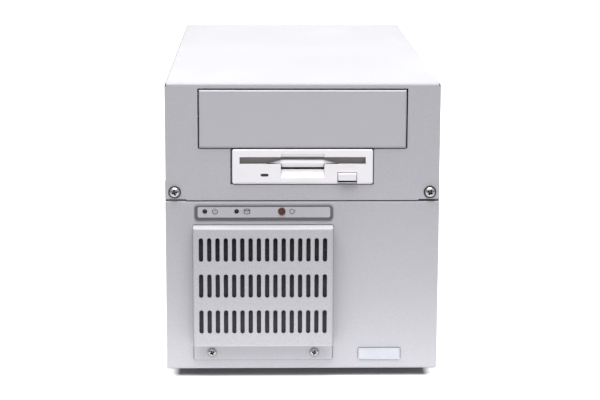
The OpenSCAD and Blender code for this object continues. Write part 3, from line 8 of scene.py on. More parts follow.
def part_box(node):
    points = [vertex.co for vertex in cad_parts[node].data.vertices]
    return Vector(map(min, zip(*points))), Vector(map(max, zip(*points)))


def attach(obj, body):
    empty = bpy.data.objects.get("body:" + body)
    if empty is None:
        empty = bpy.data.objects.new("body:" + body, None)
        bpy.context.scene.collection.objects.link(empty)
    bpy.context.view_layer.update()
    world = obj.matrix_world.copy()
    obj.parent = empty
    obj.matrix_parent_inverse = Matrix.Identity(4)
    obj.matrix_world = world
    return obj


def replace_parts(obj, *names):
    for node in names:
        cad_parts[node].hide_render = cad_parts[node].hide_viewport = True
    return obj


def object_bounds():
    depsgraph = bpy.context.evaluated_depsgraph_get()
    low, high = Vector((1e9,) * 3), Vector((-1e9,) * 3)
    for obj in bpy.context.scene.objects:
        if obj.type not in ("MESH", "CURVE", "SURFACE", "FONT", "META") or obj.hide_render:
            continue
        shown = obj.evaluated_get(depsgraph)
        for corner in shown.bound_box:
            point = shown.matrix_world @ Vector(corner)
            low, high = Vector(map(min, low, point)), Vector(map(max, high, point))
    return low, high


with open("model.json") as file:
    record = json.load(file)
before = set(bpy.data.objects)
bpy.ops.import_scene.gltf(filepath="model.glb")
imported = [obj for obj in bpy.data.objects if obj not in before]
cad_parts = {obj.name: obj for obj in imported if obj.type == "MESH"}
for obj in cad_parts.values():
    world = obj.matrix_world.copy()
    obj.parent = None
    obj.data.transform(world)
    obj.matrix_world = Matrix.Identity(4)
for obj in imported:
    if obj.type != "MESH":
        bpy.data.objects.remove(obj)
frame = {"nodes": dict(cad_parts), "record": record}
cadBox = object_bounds()
nodes = frame["nodes"]
slotOf = {row["node"]: row["material_slot"] for row in frame["record"]["subparts"]}

mm = 0.001
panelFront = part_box("top_cover")[0].y      # face of the front panel
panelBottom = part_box("chassis_tub")[0].z   # bottom edge of the front panel
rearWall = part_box("chassis_tub")[1].y
square = ((-1, -1), (1, -1), (1, 1), (-1, 1))
print("frame loaded:", len(nodes), "nodes")


def newObject(name, data):
    made = bpy.data.objects.new(name, data)
    bpy.context.scene.collection.objects.link(made)
    return made


def meshFrom(name, shape):
    # turns a bmesh into a mesh and frees it
    mesh = bpy.data.meshes.new(name)
    shape.to_mesh(mesh)
    shape.free()
    return mesh


# Camera, fitted to the corners of the front
cameraView = {
    "place": (-0.031118, -1.443955, 0.385819),
    "yaw": 1.3458,
    "pitch": 11.5274,
    "roll": 0.2037,
    "lens": 106.216,
}


def makeCamera(view):
    yaw, pitch, roll = (math.radians(view[turn]) for turn in ("yaw", "pitch", "roll"))
    ahead = Vector((math.sin(yaw) * math.cos(pitch), math.cos(yaw) * math.cos(pitch), -math.sin(pitch)))
    level = Vector((math.cos(yaw), -math.sin(yaw), 0))
    upright = level.cross(ahead)
    right = math.cos(roll) * level + math.sin(roll) * upright
    up = math.cos(roll) * upright - math.sin(roll) * level
    data = bpy.data.cameras.new("camera")
    data.lens = view["lens"]
    data.sensor_width = 36
    data.clip_start = 0.05
    camera = newObject("camera", data)
    camera.matrix_world = Matrix((right, up, -ahead)).transposed().to_4x4()
    camera.location = view["place"]
    bpy.context.scene.camera = camera


makeCamera(cameraView)


# Node helpers
def feed(tree, node, inputs):
    # an input that is given a socket is linked to it, and any other is set
    for name, value in inputs.items():
        socket = node.inputs[name]
        if isinstance(value, bpy.types.NodeSocket):
            tree.links.new(value, socket)
        else:
            socket.default_value = value


def place(tree, kind, inputs=(), **settings):
    made = tree.nodes.new("ShaderNode" + kind)
    for setting, value in settings.items():
        setattr(made, setting, value)
    feed(tree, made, dict(inputs))
    return made


def calculate(tree, operation, first, second=0.0, third=0.0, clamp=False):
    made = place(tree, "Math", {0: first, 1: second, 2: third}, operation=operation, use_clamp=clamp)
    return made.outputs[0]


def product(tree, first, *others):
    for other in others:
        first = calculate(tree, "MULTIPLY", first, other)
    return first


def remap(tree, value, low, high, toLow=0.0, toHigh=1.0):
    return place(tree, "MapRange", {0: value, 1: low, 2: high, 3: toLow, 4: toHigh}).outputs[0]


def blendColour(tree, factor, first, second):
    return place(tree, "Mix", {0: factor, 6: first, 7: second}, data_type="RGBA").outputs[2]


def layered(tree, mask, share, below, above):
    return blendColour(tree, product(tree, mask, share), below, above)


def objectPoints(tree):
    return place(tree, "TexCoord").outputs["Object"]


def noiseAt(tree, points, scale, detail, **more):
    return place(tree, "TexNoise", {"Vector": points, "Scale": scale, "Detail": detail, **more}).outputs[0]


def colour(red, green, blue):
    # from the 0 to 255 values of a picture to the shader's linear ones
    def linear(value):
        share = value / 255
        return share / 12.92 if share <= 0.04045 else ((share + 0.055) / 1.055) ** 2.4
    return (linear(red), linear(green), linear(blue), 1)


def newGroup(name, **inputs):
    group = bpy.data.node_groups.new(name, "ShaderNodeTree")
    for label, value in inputs.items():
        socket = group.interface.new_socket(label, in_out="INPUT", socket_type="NodeSocketFloat")
        socket.default_value = value
    return group, group.nodes.new("NodeGroupInput").outputs


def putOut(group, **results):
    # closes a group with its named outputs, which are all floats but a normal
    for label in results:
        kind = "Vector" if label == "Normal" else "Float"
        group.interface.new_socket(label, in_out="OUTPUT", socket_type="NodeSocket" + kind)
    feed(group, group.nodes.new("NodeGroupOutput"), results)
    return group


def useGroup(tree, group, **inputs):
    made = tree.nodes.new("ShaderNodeGroup")
    made.node_tree = group
    feed(tree, made, inputs)
    return made.outputs


# Shared effects
def makeGrainGroup():
    # peaks and pits of a sprayed or moulded surface
    group, inside = newGroup("surfaceGrain", Scale=900.0)
    points = objectPoints(group)
    pits = noiseAt(group, points, inside["Scale"], 2.0, Roughness=0.6)
    waves = noiseAt(group, points, calculate(group, "MULTIPLY", inside["Scale"], 0.31), 1.0)
    height = calculate(group, "MULTIPLY_ADD", waves, 0.5, pits)
    return putOut(group, Height=remap(group, height, 0.45, 1.05), Tone=remap(group, pits, 0.35, 0.65))


def makeEdgeGroup():
    # rounded edge normals, and a mask that is 1 along an edge
    group, inside = newGroup("softEdge", Radius=0.0004, Gain=3.0)
    rounded = place(group, "Bevel", {"Radius": inside["Radius"]}, samples=5).outputs[0]
    plain = place(group, "NewGeometry").outputs["Normal"]
    meeting = place(group, "VectorMath", {0: rounded, 1: plain}, operation="DOT_PRODUCT").outputs["Value"]
    bend = calculate(group, "SUBTRACT", 1.0, meeting)
    breaks = remap(group, noiseAt(group, objectPoints(group), 260.0, 3.0), 0.35, 0.6)
    broken = product(group, bend, inside["Gain"], breaks)
    return putOut(group, Mask=calculate(group, "MINIMUM", broken, 1.0), Normal=rounded)


def makeDustAndTopLightGroup():
    # thin dust on what faces up, in patches; with a large amount it is also painted light on the tops
    group, inside = newGroup("settledDustAndTopLight", Amount=0.3)
    facing = place(group, "SeparateXYZ", {0: place(group, "NewGeometry").outputs["Normal"]})
    upward = remap(group, facing.outputs["Z"], 0.3, 1.0)
    points = objectPoints(group)
    patches = remap(group, noiseAt(group, points, 14.0, 6.0, Roughness=0.65), 0.3, 0.75)
    specks = remap(group, noiseAt(group, points, 1400.0, 1.0), 0.4, 0.7, 0.4, 1.0)
    return putOut(group, Mask=product(group, patches, specks, upward, inside["Amount"]))


def makeSmudgeGroup():
    # faint wiped marks and uneven gloss
    group, inside = newGroup("wipedMarks", Scale=9.0)
    slanted = place(group, "Mapping", {"Vector": objectPoints(group), "Rotation": (0.3, 0.5, 0.2),
                                       "Scale": (1, 1, 2.6)}).outputs[0]
    marks = noiseAt(group, slanted, inside["Scale"], 5.0, Roughness=0.55, Distortion=0.6)
    return putOut(group, Mask=remap(group, marks, 0.35, 0.68))


def makeBrushGroup():
    # fine lines drawn along the length of sheet or wire
    group, inside = newGroup("drawnLines", Scale=2500.0, Stretch=0.03)
    points = objectPoints(group)
    factors = place(group, "CombineXYZ", {"X": inside["Stretch"], "Y": 1.0, "Z": 1.0}).outputs[0]
    drawn = place(group, "VectorMath", {0: points, 1: factors}, operation="MULTIPLY").outputs[0]
    lines = noiseAt(group, drawn, inside["Scale"], 2.0)
    spangle = place(group, "TexVoronoi", {"Vector": points, "Scale": 120.0}).outputs["Distance"]
    tone = calculate(group, "MULTIPLY_ADD", spangle, 0.3, lines)
    return putOut(group, Height=lines, Tone=remap(group, tone, 0.35, 0.95))


def makeCreviceGroup():
    # dirt and painted shade held in gaps, seams and recesses, where ambient occlusion finds them closed
    group, inside = newGroup("creviceDirtAndShade", Reach=0.003, Start=0.15, Full=0.75)
    clear = place(group, "AmbientOcclusion", {"Distance": inside["Reach"]}, samples=8).outputs["AO"]
    closed = calculate(group, "SUBTRACT", 1.0, clear)
    return putOut(group, Mask=remap(group, closed, inside["Start"], inside["Full"]))


def makeInsideGroup():
    # 1 behind a face that looks to -y and within an outline, where little light gets
    group, inside = newGroup("insideShade", Middle=0.0, Half=0.09, Low=0.0, High=0.2, Soft=0.00001,
                             Face=0.0, Fade=0.0006, Reach=0.06)

    def beyond(value, limit, fade):
        return calculate(group, "DIVIDE", calculate(group, "SUBTRACT", value, limit), fade, clamp=True)

    spot = place(group, "SeparateXYZ", {0: objectPoints(group)}).outputs
    aside = calculate(group, "ABSOLUTE", calculate(group, "SUBTRACT", spot["X"], inside["Middle"]))
    within = beyond(inside["Half"], aside, inside["Soft"])
    above = beyond(spot["Z"], inside["Low"], inside["Soft"])
    below = beyond(inside["High"], spot["Z"], inside["Soft"])
    deep = beyond(spot["Y"], inside["Face"], inside["Fade"])
    behind = calculate(group, "SUBTRACT", spot["Y"], inside["Face"])
    near = calculate(group, "LESS_THAN", behind, inside["Reach"])
    return putOut(group, Mask=product(group, within, above, below, deep, near))


def makeTrackGroup():
    # tracks of a circuit board
    group, inside = newGroup("boardTracks", Scale=190.0)
    rows = place(group, "TexBrick", {"Vector": objectPoints(group), "Scale": inside["Scale"],
                                     "Mortar Size": 0.05}).outputs["Fac"]
    return putOut(group, Mask=rows)


grainGroup = makeGrainGroup()
edgeGroup = makeEdgeGroup()
dustAndTopLightGroup = makeDustAndTopLightGroup()
smudgeGroup = makeSmudgeGroup()
brushGroup = makeBrushGroup()
creviceGroup = makeCreviceGroup()
insideGroup = makeInsideGroup()
trackGroup = makeTrackGroup()


# Finishes: each has its own values and its own Principled shader
def newFinish(name):
    material = bpy.data.materials.new(name)
    material.use_nodes = True
    tree = material.node_tree
    tree.nodes.clear()
    shader = tree.nodes.new("ShaderNodeBsdfPrincipled")
    output = tree.nodes.new("ShaderNodeOutputMaterial")
    tree.links.new(shader.outputs[0], output.inputs["Surface"])
    return material, tree, shader


def shade(look, share):
    return tuple(min(part * share, 1) for part in look["colour"][:3]) + (1,)


def mottled(tree, mask, look):
    return blendColour(tree, mask, shade(look, 1 - look["speckle"]), shade(look, 1 + look["speckle"]))


def darkened(tree, tone, look):
    # the finish's own tone with painted shade: darker in crevices, and where its inside dictionary says
    crevice = useGroup(tree, creviceGroup, **look.get("crevice", {}))
    dirtyAndShaded = blendColour(tree, crevice["Mask"], tone, shade(look, look.get("creviceTone", 0.25)))
    if "inside" not in look:
        return dirtyAndShaded
    behind = useGroup(tree, insideGroup, **look["inside"])
    unlit = look.get("insideColour") or shade(look, look["insideTone"])
    return blendColour(tree, behind["Mask"], dirtyAndShaded, unlit)


def bumped(tree, height, strength, depth, normal=None):
    bump = place(tree, "Bump", {"Height": height, "Strength": strength, "Distance": depth})
    if normal is not None:
        tree.links.new(normal, bump.inputs["Normal"])
    return bump.outputs[0]


def paintFinish(name, look):
    # powder coat over steel: fine grain, pale worn edges, dust on top that with a large amount is also painted
    # light, wiped marks
    material, tree, shader = newFinish(name)
    grain = useGroup(tree, grainGroup, Scale=look["grainScale"])
    edge = useGroup(tree, edgeGroup, Radius=look["edgeRadius"], Gain=look["edgeGain"])
    dustAndLight = useGroup(tree, dustAndTopLightGroup, Amount=look["dustAndLight"])["Mask"]
    marks = useGroup(tree, smudgeGroup, Scale=look["markScale"])["Mask"]
    wiped = layered(tree, marks, look["markDepth"], mottled(tree, grain["Tone"], look), shade(look, 0.9))
    worn = layered(tree, edge["Mask"], look["wear"], wiped, shade(look, 1.25))
    dustedAndLit = blendColour(tree, dustAndLight, worn, look["dustAndLightTone"])
    uneven = remap(tree, marks, 0.0, 1.0, look["roughness"] - 0.04, look["roughness"] + 0.06)
    feed(tree, shader, {
        "Base Color": darkened(tree, dustedAndLit, look),
        "Roughness": calculate(tree, "MULTIPLY_ADD", dustAndLight, 0.3, uneven),
        "Normal": bumped(tree, grain["Height"], look["grainDepth"], 0.00006, edge["Normal"]),
    })
    return material


def plasticFinish(name, look):
    material, tree, shader = newFinish(name)
    grain = useGroup(tree, grainGroup, Scale=look["grainScale"])
    edge = useGroup(tree, edgeGroup, Radius=look.get("edgeRadius", 0.0003), Gain=2.0)
    marks = useGroup(tree, smudgeGroup, Scale=16.0)["Mask"]
    aged = layered(tree, marks, 0.35, mottled(tree, grain["Tone"], look), look.get("aged", shade(look, 0.94)))
    worn = layered(tree, edge["Mask"], 0.35, aged, shade(look, 1.12))
    feed(tree, shader, {
        "Base Color": darkened(tree, worn, look),
        "Roughness": remap(tree, marks, 0.0, 1.0, look["roughness"] - 0.05, look["roughness"] + 0.06),
        "Coat Weight": look.get("coat", 0.0),
        "Coat Roughness": 0.15,
        "Normal": bumped(tree, grain["Height"], look["grainDepth"], 0.00005, edge["Normal"]),
    })
    return material


def metalFinish(name, look):
    material, tree, shader = newFinish(name)
    drawn = useGroup(tree, brushGroup, Scale=look["lineScale"], Stretch=look.get("stretch", 0.03))
    edge = useGroup(tree, edgeGroup, Radius=look.get("edgeRadius", 0.00025), Gain=2.0)
    marks = useGroup(tree, smudgeGroup, Scale=30.0)["Mask"]
    toned = mottled(tree, drawn["Tone"], look)
    stained = layered(tree, marks, look.get("stain", 0.25), toned, shade(look, 0.78))
    bright = layered(tree, edge["Mask"], 0.4, stained, shade(look, 1.15))
    feed(tree, shader, {
        "Base Color": darkened(tree, bright, look),
        "Metallic": 1.0,
        "Roughness": remap(tree, marks, 0.0, 1.0, look["roughness"] - 0.06, look["roughness"] + 0.09),
        "Normal": bumped(tree, drawn["Height"], look["lineDepth"], 0.00004, edge["Normal"]),
    })
    return material


def boardFinish(name, look):
    # solder mask with tracks and pads in their own tones
    material, tree, shader = newFinish(name)
    tracks = useGroup(tree, trackGroup)["Mask"]
    cells = place(tree, "TexVoronoi", {"Vector": objectPoints(tree), "Scale": 260.0},
                  feature="DISTANCE_TO_EDGE")
    pads = calculate(tree, "LESS_THAN", cells.outputs[0], 0.05)
    marks = useGroup(tree, smudgeGroup, Scale=20.0)["Mask"]
    masked = blendColour(tree, tracks, look["colour"], shade(look, 1.6))
    padded = layered(tree, pads, 0.35, masked, (0.6, 0.6, 0.55, 1))
    feed(tree, shader, {
        "Base Color": layered(tree, marks, 0.3, padded, shade(look, 0.7)),
        "Roughness": look["roughness"],
        "Normal": bumped(tree, tracks, 0.3, 0.00004),
    })
    return material


def cardFinish(name, look, nodeName):
    # green board, dark parts on its component side, and metal where the ports are
    low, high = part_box(nodeName)
    material, tree, shader = newFinish(name)
    spot = place(tree, "SeparateXYZ", {0: objectPoints(tree)}).outputs
    drawn = useGroup(tree, brushGroup, Scale=2400.0, Stretch=1.0)
    boarded = blendColour(tree, useGroup(tree, trackGroup)["Mask"], look["colour"], shade(look, 1.6))
    onParts = calculate(tree, "GREATER_THAN", spot["X"], low.x + look["board"])
    atPorts = calculate(tree, "GREATER_THAN", spot["Y"], high.y - look["portEnd"])
    metallic = product(tree, onParts, atPorts)
    parted = blendColour(tree, onParts, boarded, look["parts"])
    plated = blendColour(tree, drawn["Tone"], (0.5, 0.5, 0.5, 1), (0.62, 0.62, 0.61, 1))
    feed(tree, shader, {
        "Base Color": blendColour(tree, metallic, parted, plated),
        "Metallic": metallic,
        "Roughness": look["roughness"],
        "Normal": bumped(tree, drawn["Height"], 0.15, 0.00003),
    })
    return material


def foamFinish(name, look):
    # open cells: painted shade in the pores and painted light on the struts, and paler lower down, as dust and
    # as painted light from below
    low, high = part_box("dust_filter")
    material, tree, shader = newFinish(name)
    points = objectPoints(tree)
    cells = place(tree, "TexVoronoi", {"Vector": points, "Scale": look["cellScale"]},
                  feature="DISTANCE_TO_EDGE")
    struts = remap(tree, cells.outputs[0], 0.02, 0.2, 1.0, 0.0)
    toned = blendColour(tree, struts, shade(look, 0.45), shade(look, 1.5))
    height = place(tree, "SeparateXYZ", {0: points}).outputs["Z"]
    # paler towards the bottom: dust, and painted light from below
    lower = remap(tree, height, low.z, high.z, look["dustAndLight"], 0.0)
    feed(tree, shader, {
        "Base Color": blendColour(tree, lower, toned, look["dustAndLightTone"]),
        "Roughness": 0.95,
        "Specular IOR Level": 0.25,
        "Normal": bumped(tree, struts, 0.8, 0.0004),
    })
    return material


def lensFinish(name, look):
    material, tree, shader = newFinish(name)
    edge = useGroup(tree, edgeGroup, Radius=0.0002, Gain=2.0)
    marks = useGroup(tree, smudgeGroup, Scale=90.0)["Mask"]
    feed(tree, shader, {
        "Base Color": layered(tree, marks, 0.4, look["colour"], shade(look, 1.5)),
        "Roughness": look["roughness"],
        "Coat Weight": 0.3,
        "Coat Roughness": 0.05,
        "Normal": bumped(tree, marks, 0.05, 0.00003, edge["Normal"]),
    })
    return material


# between these the seam and the gaps get painted shade, and beyond them the cover lies close on the tub
darkFrom, darkTo = cadBox[0].x + 14.6 * mm, cadBox[1].x - 3.2 * mm
casePaint = {
    "colour": colour(182, 181, 186),
    "roughness": 0.52,
    "grainScale": 1100.0,
    "grainDepth": 0.35,
    "speckle": 0.05,
    "edgeRadius": 0.0005,
    "edgeGain": 4.0,
    "wear": 0.35,
    "dustAndLight": 0.1,
    "dustAndLightTone": (0.74, 0.72, 0.69, 1),
    "markScale": 7.0,
    "markDepth": 0.12,
    "crevice": {"Reach": 1.4 * mm, "Start": 0.12, "Full": 0.45},
    "creviceTone": 0.16,
    # painted shade on the faces behind the front skin, inside the gaps and the seam
    "inside": {"Middle": (darkFrom + darkTo) / 2, "Half": (darkTo - darkFrom) / 2,
               "Low": panelBottom + 1.5 * mm, "High": cadBox[1].z - 1.5 * mm,
               "Face": panelFront + 0.3 * mm, "Fade": 0.4 * mm},
    "insideTone": 0.06,
}
# painted shade on the flange of the pan, under what stands out above it
panLow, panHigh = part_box("filter_cover")
# the pan's large dust amount also paints light on its top faces
panPaint = dict(casePaint, grainScale=1450.0, grainDepth=0.45, speckle=0.08, dustAndLight=0.55, wear=0.6,
                edgeRadius=0.0007, insideTone=0.87,
                inside={"Middle": (panLow.x + panHigh.x) / 2, "Half": (panHigh.x - panLow.x) / 2 - 1 * mm,
                        "Low": panLow.z + 0.5 * mm, "High": panLow.z + 16 * mm, "Soft": 6 * mm,
                        "Face": panelFront - 2.2 * mm, "Fade": 1 * mm})


def plastic(tone, roughness, grainScale, grainDepth, speckle, **more):
    return dict(more, colour=colour(*tone), roughness=roughness, grainScale=grainScale,
                grainDepth=grainDepth, speckle=speckle)


def metal(tone, roughness, lineScale, lineDepth, speckle, **more):
    return dict(more, colour=tone, roughness=roughness, lineScale=lineScale, lineDepth=lineDepth,
                speckle=speckle)


plastics = {
    "filler_plastic": plastic((184, 183, 188), 0.5, 1500.0, 0.3, 0.02, edgeRadius=0.0004),
    "bezel_plastic": plastic((242, 239, 243), 0.42, 1800.0, 0.12, 0.008, aged=colour(236, 230, 228),
                             crevice={"Reach": 1.5 * mm}, creviceTone=0.5),
    "button_plastic": plastic((236, 234, 238), 0.4, 1800.0, 0.1, 0.008, crevice={"Reach": 0.8 * mm},
                              creviceTone=0.35),
    "fan_plastic": plastic((38, 38, 41), 0.5, 1300.0, 0.2, 0.05),
    "label_film": plastic((192, 190, 195), 0.42, 2600.0, 0.1, 0.012),
    "reset_plastic": plastic((80, 36, 26), 0.45, 2200.0, 0.2, 0.05),
    "connector_black": plastic((33, 33, 35), 0.48, 1500.0, 0.2, 0.05),
    "switch_black": plastic((28, 28, 30), 0.3, 1900.0, 0.08, 0.03, coat=0.2),
    "guide_nylon": plastic((226, 225, 216), 0.45, 1300.0, 0.12, 0.02),
    "ribbon_pvc": plastic((172, 174, 178), 0.5, 900.0, 0.3, 0.05),
    "harness_pvc": plastic((176, 42, 32), 0.42, 700.0, 0.4, 0.1),
    "lead_pvc": plastic((70, 71, 76), 0.45, 700.0, 0.4, 0.1),
    "speaker_black": plastic((34, 33, 33), 0.7, 700.0, 0.5, 0.1),
    "foot_rubber": plastic((36, 36, 38), 0.75, 900.0, 0.45, 0.08),
    "clamp_rubber": plastic((40, 40, 42), 0.75, 900.0, 0.45, 0.08),
}
metals = {
    "zinc_steel": metal((0.44, 0.45, 0.47, 1), 0.34, 1900.0, 0.12, 0.12),
    # painted shade: a near-black tone in the cross recesses and round the heads
    "nickel_screws": metal((0.47, 0.465, 0.46, 1), 0.14, 5200.0, 0.06, 0.05, stretch=1.0,
                           edgeRadius=0.00012, creviceTone=0.02,
                           crevice={"Reach": 1.6 * mm, "Start": 0.07, "Full": 0.32}),
    "bracket_nickel": metal((0.42, 0.42, 0.41, 1), 0.3, 3200.0, 0.08, 0.04, stain=0.12),
    "guard_wire": metal((0.76, 0.76, 0.77, 1), 0.15, 4200.0, 0.05, 0.04, edgeRadius=0.0001),
    "plate_metal": metal((0.64, 0.65, 0.69, 1), 0.38, 4200.0, 0.1, 0.04, stain=0.1),
    "disk_casting": metal((0.42, 0.43, 0.45, 1), 0.42, 900.0, 0.3, 0.08, stretch=1.0),
    "heatsink_metal": metal((0.07, 0.07, 0.08, 1), 0.4, 2200.0, 0.15, 0.1),
    "standoff_brass": metal((0.72, 0.52, 0.2, 1), 0.28, 2800.0, 0.1, 0.08),
}
boards = {
    "board_green": {"colour": (0.012, 0.085, 0.035, 1), "roughness": 0.32},
    "board_brown": {"colour": (0.3, 0.19, 0.07, 1), "roughness": 0.5},
}
lenses = {
    "lamp_lens": {"colour": colour(8, 8, 10), "roughness": 0.28},
    "floppy_lamp_lens": {"colour": colour(44, 45, 50), "roughness": 0.2},
}
foamLook = dict(colour=colour(42, 41, 46), cellScale=900.0, dustAndLight=0.5, dustAndLightTone=colour(96, 94, 100))

finishes = {"case_paint": paintFinish("casePaint", casePaint),
            "filter_foam": foamFinish("filterFoam", foamLook)}
for make, looks in ((plasticFinish, plastics), (metalFinish, metals), (boardFinish, boards),
                    (lensFinish, lenses)):
    for slotName, look in looks.items():
        finishes[slotName] = make(slotName, look)

# nodes that share a slot with others but look different
flapBox, buttonBox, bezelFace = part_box("floppy_flap"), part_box("eject_button"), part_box("floppy_bezel")[0].y
buttonMiddle = (buttonBox[0].x + buttonBox[1].x) / 2
# painted shade on the flap where it lies recessed behind the bezel
flapPlastic = dict(plastics["bezel_plastic"], insideColour=colour(141, 137, 134),
                   inside={"Half": flapBox[1].x + 1 * mm, "High": 1.0, "Face": flapBox[0].y + 1.2 * mm,
                           "Fade": 1.2 * mm})
# painted shade on the bezel's faces inside the opening round the eject button
bezelPlastic = dict(plastics["bezel_plastic"], insideTone=0.1,     # dark gap round the eject button
                    inside={"Middle": buttonMiddle, "Half": buttonBox[1].x - buttonMiddle + 1 * mm,
                            "Low": buttonBox[0].z - 1.5 * mm, "High": buttonBox[1].z + 1 * mm,
                            "Face": bezelFace + 0.3 * mm, "Fade": 0.3 * mm})
# painted shade on the eject button where it lies behind the bezel's face
buttonPlastic = dict(plastics["button_plastic"], insideTone=0.1,
                     inside={"Half": 0.1, "High": 1.0, "Face": bezelFace + 0.2 * mm, "Fade": 0.4 * mm})
card = dict(colour=(0.012, 0.085, 0.035, 1), roughness=0.33, board=1.65 * mm, portEnd=19.0 * mm,
            parts=colour(42, 42, 44))
ownFinish = {"filter_cover": paintFinish("panPaint", panPaint),
             "cpu_card": cardFinish("cpuCard", card, "cpu_card"),
             "io_card": cardFinish("ioCard", card, "io_card"),
             "floppy_flap": plasticFinish("flapPlastic", flapPlastic),
             "floppy_bezel": plasticFinish("bezelPlastic", bezelPlastic),
             "eject_button": plasticFinish("buttonPlastic", buttonPlastic)}
for name, cadNode in nodes.items():
    for holder in cadNode.material_slots:
        holder.material = ownFinish.get(name, finishes[slotOf[name]])
print("finishes made:", len(finishes))


# Floor, backdrop and lamps
studio = {
    "floorSize": 6.0,
    "floorTone": (0.335, 0.343, 0.365, 1),
    "whiteFrom": (-0.001, 0.003),       # outwards from the case's footprint the floor turns white
    # inside the footprint the floor glows at these ends, a painted light that fades the shadow there
    "sideFade": (-0.009, -0.003),       # the shadow's ends under the front edge
    "frontStrip": (0.014, 0.028),       # how far behind the front they reach
    "roomReach": (0.08, 0.35),          # the floor as metal sees it darkens over this distance
    "roomRise": (0.12, 0.5),            # and the room brightens between these heights
    "roomDark": 0.3,
    "shadowGlow": 0.05,
    "worldLevel": 0.33,
}
lamps = {
    "keyLamp": dict(place=(-0.1, -0.63, 1.55), size=(1.5, 1.1), watts=38.0, aim=(0, 0, 0.1)),
    "floorCard": dict(place=(0.05, -0.252, 0.003), size=(0.5, 0.11), watts=0.27,
                      aim=(0.05, -0.252, 1), mirrored=False),
    "rearLamp": dict(place=(0.3, 1.5, 0.55), size=(1.4, 0.8), watts=6.5, aim=(0, 0.2, 0.1)),
}


def seenDirectly(tree, mirrored):
    # 1 for what the camera sees, plainly or through glass, and a level of its own in a reflection
    path = place(tree, "LightPath").outputs
    seen = calculate(tree, "MAXIMUM", path["Is Camera Ray"], path["Is Transmission Ray"])
    return calculate(tree, "MAXIMUM", seen, product(tree, path["Is Glossy Ray"], mirrored))


def makeFloor():
    half = studio["floorSize"] / 2
    shape = bmesh.new()
    shape.faces.new([shape.verts.new((x * half, y * half, 0)) for x, y in square])
    floor = newObject("floor", meshFrom("floor", shape))
    material, tree, shader = newFinish("paleFloor")
    floor.data.materials.append(material)
    # seen directly, the floor turns to plain white just outside the case's footprint
    spot = place(tree, "SeparateXYZ", {0: objectPoints(tree)}).outputs
    aside = calculate(tree, "SUBTRACT", calculate(tree, "ABSOLUTE", spot["X"]), cadBox[1].x)
    fromMiddle = calculate(tree, "SUBTRACT", spot["Y"], (panelFront + rearWall) / 2)
    along = calculate(tree, "SUBTRACT", calculate(tree, "ABSOLUTE", fromMiddle), (rearWall - panelFront) / 2)
    away = calculate(tree, "MAXIMUM", aside, along)
    # painted light: near the front corners the floor glows under the case too, so the shadow's ends fade
    ends = remap(tree, aside, *studio["sideFade"])
    inward = calculate(tree, "SUBTRACT", spot["Y"], panelFront)
    inStrip = remap(tree, inward, *studio["frontStrip"], 1.0, 0.0)
    level = calculate(tree, "MAXIMUM", remap(tree, away, *studio["whiteFrom"]), product(tree, ends, inStrip))
    glow = remap(tree, level, 0.0, 1.0, studio["shadowGlow"], 1.0)
    room = remap(tree, away, *studio["roomReach"], 1.0, studio["roomDark"])
    feed(tree, shader, {
        "Base Color": studio["floorTone"],
        "Roughness": 0.9,
        "Emission Color": (1, 1, 1, 1),
        "Emission Strength": product(tree, glow, seenDirectly(tree, room)),
    })


def makeWorld():
    world = bpy.data.worlds.new("softRoom")
    bpy.context.scene.world = world
    world.use_nodes = True
    tree = world.node_tree
    tree.nodes.clear()
    # seen directly it is white, metal sees a room that is darker low down, and all else gets a soft light
    height = place(tree, "SeparateXYZ", {0: place(tree, "TexCoord").outputs["Generated"]}).outputs["Z"]
    room = remap(tree, height, *studio["roomRise"], studio["roomDark"], 1.0)
    strength = calculate(tree, "MAXIMUM", seenDirectly(tree, room), studio["worldLevel"])
    lit = place(tree, "Background", {"Color": (1, 1, 1, 1), "Strength": strength})
    place(tree, "OutputWorld", {"Surface": lit.outputs[0]})


def makeLamp(name, look):
    data = bpy.data.lights.new(name, "AREA")
    data.shape = "RECTANGLE"
    data.size, data.size_y = look["size"]
    data.energy = look["watts"]
    lamp = newObject(name, data)
    lamp.location = look["place"]
    lamp.rotation_euler = (Vector(look["aim"]) - lamp.location).to_track_quat("-Z", "Y").to_euler()
    lamp.visible_camera = False
    lamp.visible_glossy = look.get("mirrored", True)


makeFloor()
makeWorld()
for name, look in lamps.items():
    makeLamp(name, look)
bpy.context.scene.view_settings.view_transform = "Standard"
print("studio made")


# Mesh helpers
def newPiece(name, shape, body, slotName, smoothAngle=35):
    # shape is a bmesh in the frame's metres
    bmesh.ops.recalc_face_normals(shape, faces=shape.faces)
    mesh = meshFrom(name, shape)
    piece = newObject(name, mesh)
    mesh.materials.append(finishes[slotName])
    for face in mesh.polygons:
        face.use_smooth = True
    mesh.set_sharp_from_angle(angle=math.radians(smoothAngle))
    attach(piece, body)
    return piece


def addSolid(shape, made, where=Matrix.Identity(4)):
    # copies a bmesh into shape, moved by a matrix
    mesh = bpy.data.meshes.new("scratch")
    made.to_mesh(mesh)
    mesh.transform(where)
    shape.from_mesh(mesh)
    bpy.data.meshes.remove(mesh)


def arc(centreX, centreY, radiusX, radiusY, start, end, steps=24):
    turns = [math.radians(start + (end - start) * step / steps) for step in range(steps + 1)]
    return [(centreX + radiusX * math.cos(turn), centreY + radiusY * math.sin(turn)) for turn in turns]


def circlePoints(radius, steps=24):
    return arc(0, 0, radius, radius, 0, 360, steps)[:-1]


def turned(profile, steps=48):
    # closed solid of revolution about z from points (r, z) that start and end on the axis
    shape = bmesh.new()
    rings = []
    for radius, height in profile:
        around = circlePoints(radius, steps) if radius > 1e-9 else [(0, 0)]
        rings.append([shape.verts.new((x, y, height)) for x, y in around])
    for low, high in zip(rings, rings[1:]):
        for step in range(steps):
            after = (step + 1) % steps
            corners = [low[step % len(low)], low[after % len(low)],
                       high[after % len(high)], high[step % len(high)]]
            shape.faces.new(list(dict.fromkeys(corners)))
    return shape


